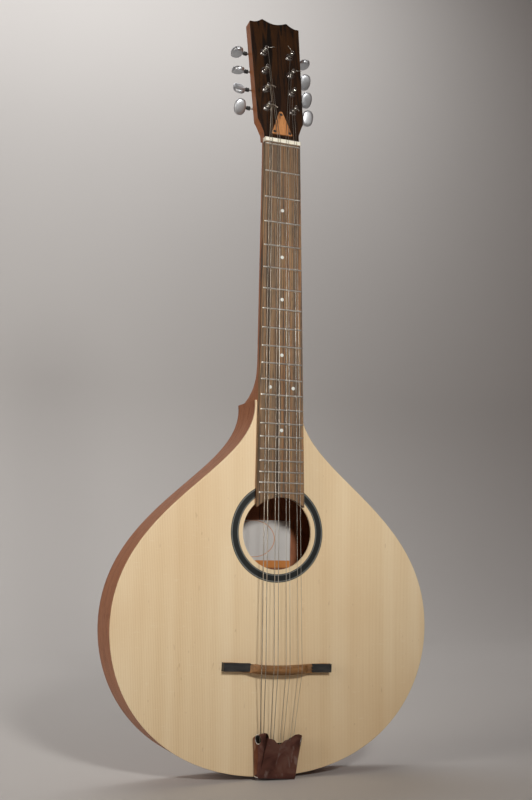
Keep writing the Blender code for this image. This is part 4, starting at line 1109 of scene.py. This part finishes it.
def bridge_section(x, end):
    """The bridge's outline at x: a plain block on the wings, a leaning wall under the strings."""
    h = bridge_height(x)
    crown = ease((h - WING_H) / (BRIDGE_H - WING_H))
    wide = 0.00475 * end
    top = wide - 0.0004 + (bridge_edge(x) - wide + 0.0004) * crown
    low = -(wide - 0.0004) + (-0.0018 + wide - 0.0004) * crown
    mid = WING_H * 0.62
    section = [(-wide, 0.00005), (wide, 0.00005), (wide, mid * 0.5), (wide, mid),
               (wide - (wide - top) * 0.06, mid + (h - mid) * 0.30),
               (top + (wide - top) * 0.25, mid + (h - mid) * 0.72),
               (top, h - 0.0006), (top - 0.0002, h - 0.00012), (top - 0.0006, h),
               (low + 0.0010 + 0.0012 * crown, h), (low + 0.0009 * crown, h - 0.0002 - 0.0005 * crown),
               (low, h - 0.0004 - 0.0016 * crown), (low - 0.0008 * crown, h - 0.0005 - 0.0042 * crown),
               (-wide + (wide + low) * 0.30, mid + (h - mid) * 0.55), (-wide, mid + (h - mid) * 0.1 * crown)]
    belly = 0.0038 * ease((0.060 - abs(x)) / 0.056)
    return [bridge_point(x, s - belly * (0.75 + 0.25 * (s < 0)), -up) for s, up in section]


def bridge():
    """The crowned bridge, with a black plate on each wing that wraps over its end."""
    count = 180
    loops = []
    for k in range(count + 1):
        end = 1 - 0.0006 / 0.00475 * max(0.0, 1 - min(k, count - k) / 2)
        loops.append(bridge_section(-0.0650 + 0.130 * k / count, end))
    settle(loft("bridge", loops), BRIDGE_WOOD, stands_for="bridge", sharp=34,
           grain=sideways, weigh=False)
    wide, end, lap = 0.0047, 0.0650, 0.00035
    turns = [PI * (k / 12 - 0.5) for k in range(13)]
    nose = [(-0.0352 + 0.0030 * math.cos(a), wide * math.sin(a)) for a in turns]
    jag = [(0.0418, -wide), (0.0405, -0.0030), (0.0424, -0.0016), (0.0402, 0.0004),
           (0.0419, 0.0021), (0.0408, wide)]
    left = nose + [(-0.0651, wide), (-0.0651, -wide)]
    right = [(0.0651, -wide), (0.0651, wide)] + jag[::-1]
    near, far = -WING_H - 0.0012, -WING_H - 0.00003
    for side, word, outline in ((-1, "left", left), (1, "right", right)):
        wing = plate("bridge_wing_" + word, outline, bridge_point, near, far, 0.0003)
        settle(wing, EBONY, stands_for="bridge_wing_" + word, grain=sideways)
        edge = end + lap
        rim = [(side * end, -wide), (side * edge, -wide), (side * edge, wide), (side * end, wide)]
        cap = plate("bridge_end_" + word, rim, bridge_point, -WING_H - 0.0011, -0.0002, 0)
        settle(cap, EBONY, grain=sideways)


# ------------------------------------------------------------------ tailpiece

def line_at(points, t):
    """Straight-line value at t through (t, value) pairs."""
    for (t0, a), (t1, b) in zip(points, points[1:]):
        if t <= t1:
            return a + (b - a) * max(0.0, (t - t0) / (t1 - t0))
    return points[-1][1]


def cover_spot(t, v):
    """Point of the cover's outer face: t from the middle to an edge, v from the foot to the top."""
    valley, crest = 0.42, 0.72
    x_valley = 0.0205 - 0.0080 * v
    x_crest = 0.0217 - 0.0007 * v
    x_edge = 0.0232 + 0.0048 * v ** 1.2
    middle = 0.0090 + 0.0008 * v
    low = middle - 0.0002 - 0.0003 * v
    peak = middle - 0.0002 + 0.0050 * v ** 0.9
    if t < valley:
        u = t / valley
        x, h = x_valley * u, middle + (low - middle) * u * u
    elif t < crest:
        u = (t - valley) / (crest - valley)
        x, h = x_valley + (x_crest - x_valley) * u, low + (peak - low) * (1 - math.cos(PI * u)) / 2
    else:
        a = (t - crest) / (1 - crest) * PI / 2
        x = x_crest + (x_edge - x_crest) * math.sin(a) ** 1.25
        h = 0.0018 + (peak - 0.0018) * math.cos(a) ** 0.95
    return x, h


def cover_top(t):
    points = ((0.0, -0.0862), (0.08, -0.0852), (0.22, -0.0815), (0.36, -0.0803), (0.42, -0.0808),
              (0.50, -0.0772), (0.60, -0.0744), (0.70, -0.0736), (0.80, -0.0745), (0.90, -0.0772),
              (1.0, -0.0811))
    return line_at(points, t)


def cover_shell():
    """The bright tail cover: a gently domed middle between two hollow flutes that taper to the foot."""
    foot, roll, edge_h = -TAIL_TO_BRIDGE + 0.0002, 0.0022, 0.0018
    ts = [k / 60 for k in range(-60, 61)]
    rows = [(0.0, math.sin(PI / 2 * j / 5)) for j in range(6)] + [(j / 32, 1.0) for j in range(1, 33)]
    bm = bmesh.new()
    made = []
    for v, rolled in rows:
        line = []
        for t in ts:
            x, h = cover_spot(abs(t), v)
            s = foot + (cover_top(abs(t)) - foot) * v + roll * (1 - rolled)
            h = edge_h + (h - edge_h) * rolled
            line.append(bm.verts.new(cover_point(math.copysign(x, t), s, -h)))
        made.append(line)
    skin(bm, made)
    return raw("tailpiece_cover", bm)


def ear_oval(side, tall, wide, count=48):
    """The line round the hole in one ear, and the direction that the hole faces."""
    centre = cover_point(side * 0.0249, -0.0816, -0.0092)
    axis = Vector((side * math.sin(EAR_TILT), -math.cos(EAR_TILT), 0.0))
    along = Vector((0, 0, 1))
    across = axis.cross(along)
    turns = [2 * PI * k / count for k in range(count)]
    return axis, [centre + along * tall * math.cos(a) + across * wide * math.sin(a) for a in turns]


def tailpiece():
    cover = cover_shell()
    thick = cover.modifiers.new("Sheet", "SOLIDIFY")
    thick.thickness = 0.0010
    thick.offset = 1.0
    own_shape(cover)
    for side in (-1, 1):
        axis, oval = ear_oval(side, 0.0050, 0.0044)
        carve(cover, loft("hole", [[spot + axis * reach for spot in oval] for reach in (-0.0028, 0.012)]))
    soften(cover, 0.00022, 50)
    settle(cover, TAIL_CHROME_PAINTED_REFLECTION, stands_for="tailpiece_cover", sharp=50)
    ear_shade_sheets()
    cover_rims()
    hanger()


def cover_rims():
    """Bright rounded rims along the cover's foot and round both holes, in pale metal that paints on the
    highlight of their rolled edges.
    """
    points = []
    for k in range(-40, 41):
        x, h = cover_spot(abs(k) / 40 * 0.96, 0.0)
        points.append(cover_point(math.copysign(x, k), -TAIL_TO_BRIDGE + 0.0003, -h + 0.0003))
    wire("foot_rim", points, 0.0010, PAINTED_HIGHLIGHT_METAL)
    for side, word in ((-1, "left"), (1, "right")):
        axis, oval = ear_oval(side, 0.0051, 0.0047)
        points = [on_cover(spot, axis, side) for spot in oval + oval[:1]]
        wire("hole_rim_" + word, points, 0.0006, PAINTED_HIGHLIGHT_METAL)


def on_cover(spot, axis, side):
    """Moves a spot along the hole's axis to the flute's outer face."""
    best = None
    for t in (k / 60 for k in range(42, 61)):
        for v in (k / 40 for k in range(20, 41)):
            x, h = cover_spot(t, v)
            face = cover_point(side * x, -TAIL_TO_BRIDGE + (cover_top(t) + TAIL_TO_BRIDGE) * v, -h)
            away = (face - spot) - axis * (face - spot).dot(axis)
            if best is None or away.length < best[0]:
                best = (away.length, (face - spot).dot(axis))
    return spot + axis * (best[1] + 0.0002)


def ear_shade_sheets():
    """The underside of each flute, which closes it against the soundboard; its near-black colour is painted
    shade for the flute's dark inside.
    """
    for side, word in ((-1, "left"), (1, "right")):
        foot = -TAIL_TO_BRIDGE + 0.003
        outline = []
        for v in (k / 12 for k in range(1, 13)):
            x, _ = cover_spot(0.99, v)
            outline.append((side * (x - 0.0014), foot + (cover_top(1.0) - foot) * v))
        for x, s in ((0.0240, -0.0766), (0.0150, -0.0800), (0.0130, -0.0830), (0.0200, -0.118)):
            outline.append((side * x, s))
        floor = plate("ear_floor_" + word, outline, cover_point, -0.0030, -0.0024, 0)
        # near-black finish here is painted shade inside the flute, on top of the real shadow the sheet casts
        settle(floor, BLACK_METAL, sharp=40)


def hanger():
    """The hanger: a plate over the tail edge, hooked for the strings, with two screws."""
    tail = -TAIL_TO_BRIDGE - 0.0003
    face, t = -0.0013, 0.0012
    bend = 0.0016
    profile = [(-0.0860, -0.0001), (-0.0860, face), (-0.0975, face), (HOOK_S, -0.0034),
               (HOOK_S - 0.0015, -0.0034), (HOOK_S - 0.0015, face)]
    profile += arc((tail + bend - t, face + bend), bend, -1, -1, 6)
    profile += [(tail - t, 0.030), (tail, 0.030), (tail, -0.0001)]
    loops = [[body_point(x, s, d) for s, d in profile] for x in (-0.022, 0.022)]
    piece = loft("tailpiece_plate", loops)
    soften(piece, 0.0002, 60)
    settle(piece, CHROME, stands_for="tailpiece_plate", sharp=45)
    for number, x in enumerate((-0.012, 0.012), 1):
        name = f"tail_screw_{number}"
        cross_screw(name, lambda a, b, c: body_point(a, tail - t - 0.0001 + c, b), (x, 0.020),
                    0.0030, 0.0, 0.010, STEEL, node=name)


# ------------------------------------------------------------------ strings

def straight_part(number):
    """From the hook over the bridge, the first fret wire and the nut, to its post."""
    r = STRING_R[number]
    nut_x = string_xs(*NUT_SPACING)[number]
    bridge_x = string_xs(*BRIDGE_SPACING)[number]
    crown = BRIDGE_H + r + 0.00005
    points = [body_point(bridge_x * 0.78 - 0.0012, HOOK_S, -0.0037 - r)]
    points += [bridge_point(bridge_x, s, -crown) for s in (-0.0050, -0.0026, 0.0000)]
    points.append(neck_point(nut_x, SCALE, -r))
    points.append(neck_point(nut_x, NUT_S + 0.0016, 0.0002 - r))
    points.append(neck_point(nut_x, NUT_S + NUT_T, 0.0006 - r))
    return points


def windings(number):
    """The turns round the post's waist, from where the string meets it."""
    r = STRING_R[number]
    side, x, u = post_places()[number]
    coil = 0.0019 + r
    pitch = 2 * r + 0.00005
    path = []
    for k in range(55):
        a = 2 * PI * k / 24
        d = -0.0088 + 0.0002 + r + pitch * k / 24
        path.append(head_point(x - side * coil * math.cos(a), u + coil * math.sin(a), d))
    return path


def loose_end(number):
    """The cut end, standing out of the post."""
    _, x, u = post_places()[number]
    heading = math.radians(END_ANGLES[number])
    out = Vector((math.cos(heading), math.sin(heading)))
    points = []
    for k in range(9):
        run = END_LENGTHS[number] * k / 8
        lift = -0.0098 - 0.0022 * math.sin(PI * 0.6 * k / 8)
        points.append(head_point(x + out.x * run, u + out.y * run, lift))
    return points


def strings():
    for number in range(8):
        r = STRING_R[number]
        look = WOUND_WIRE if number < 3 else PLAIN_WIRE
        coil = windings(number)
        points = straight_part(number)
        if number in (1, 6):
            side = -1 if number == 1 else 1
            points.append(head_point(side * (POST_X - 0.0041), POST_LOW, -0.0062))
        points.append(coil[0])
        wire(f"string_{number + 1}", points, r, look, stands_for=f"string_{number + 1}")
        body = f"post_{number + 1}"
        wire(f"windings_{number + 1}", coil, r, look, body)
        wire(f"loose_end_{number + 1}", loose_end(number), r, look, body, sides=8)


# ------------------------------------------------------------------ stage, light and camera

def stage():
    """A pale floor that sweeps up behind."""
    floor_z = cad_low[2]
    turn_y, turn_r, half_w = 1.5, 0.8, 4.0
    profile = [(-3.0, 0.0)] + arc((turn_y, turn_r), turn_r, -1, 1, 16) + [(turn_y + turn_r, 4.2)]
    bm = bmesh.new()
    skin(bm, [[bm.verts.new((x, y, floor_z + z)) for y, z in profile] for x in (half_w, -half_w)])
    floor = raw("floor", bm)
    floor.data.materials.append(floor_finish().material)
    floor.data.shade_smooth()
    floor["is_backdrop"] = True


def hang(light, place, aim, power, tint):
    """Puts a light in its place, turned to its aim."""
    light.energy = power
    light.color = tint
    obj = bpy.data.objects.new(light.name, light)
    obj.location = place
    obj.rotation_euler = (Vector(aim) - Vector(place)).to_track_quat("-Z", "Y").to_euler()
    bpy.context.scene.collection.objects.link(obj)
    return obj


def lamp(name, place, aim, power, size, tint=(1, 1, 1)):
    light = bpy.data.lights.new(name, "AREA")
    light.shape = "RECTANGLE"
    light.size, light.size_y = size
    hang(light, place, aim, power, tint).visible_camera = False


def beam(name, place, aim, power, spread, soft, tint):
    light = bpy.data.lights.new(name, "SPOT")
    light.spot_size = math.radians(spread)
    light.spot_blend = 1.0
    light.shadow_soft_size = soft
    hang(light, place, aim, power, tint)


def light_and_camera():
    beam("key", (-0.10, -1.45, 0.86), (-0.105, 0.0, 0.52), 68, 54, 0.11, (1.0, 0.985, 0.95))
    lamp("side", (-1.50, -0.45, 0.60), (-0.10, 0.0, 0.35), 9, (0.5, 0.9), (1.0, 0.95, 0.88))
    lamp("fill", (1.3, -1.4, 0.45), (0.0, 0.0, 0.3), 0.8, (1.0, 1.0), (1.0, 0.94, 0.88))
    lamp("above", (0.1, 0.2, 2.0), (0.0, 0.0, 0.4), 2, (1.0, 1.0), (1.0, 0.98, 0.95))
    lamp("wall", (0.0, 1.2, 2.6), (0.0, 2.3, 0.9), 34, (2.6, 0.8))
    world = bpy.data.worlds.new("room")
    world.use_nodes = True
    air = world.node_tree.nodes["Background"].inputs
    air["Color"].default_value = (0.62, 0.40, 0.33, 1.0)
    air["Strength"].default_value = 0.09
    bpy.context.scene.world = world
    bpy.context.scene.view_settings.view_transform = "Standard"
    lens = bpy.data.cameras.new("camera")
    lens.sensor_fit = "VERTICAL"
    lens.sensor_height = 36.0
    lens.lens = 48.71
    camera = bpy.data.objects.new("camera", lens)
    camera.location = (-0.4824, -1.1834, 0.2445)
    camera.rotation_euler = (1.7135, -0.0115, -0.3856)
    bpy.context.scene.collection.objects.link(camera)
    bpy.context.scene.camera = camera


soundboard()
ribs_and_back()
label()
inside()
neck()
fingerboard()
frets()
nut()
truss_cover()
machines()
bridge()
tailpiece()
strings()
stage()
light_and_camera()
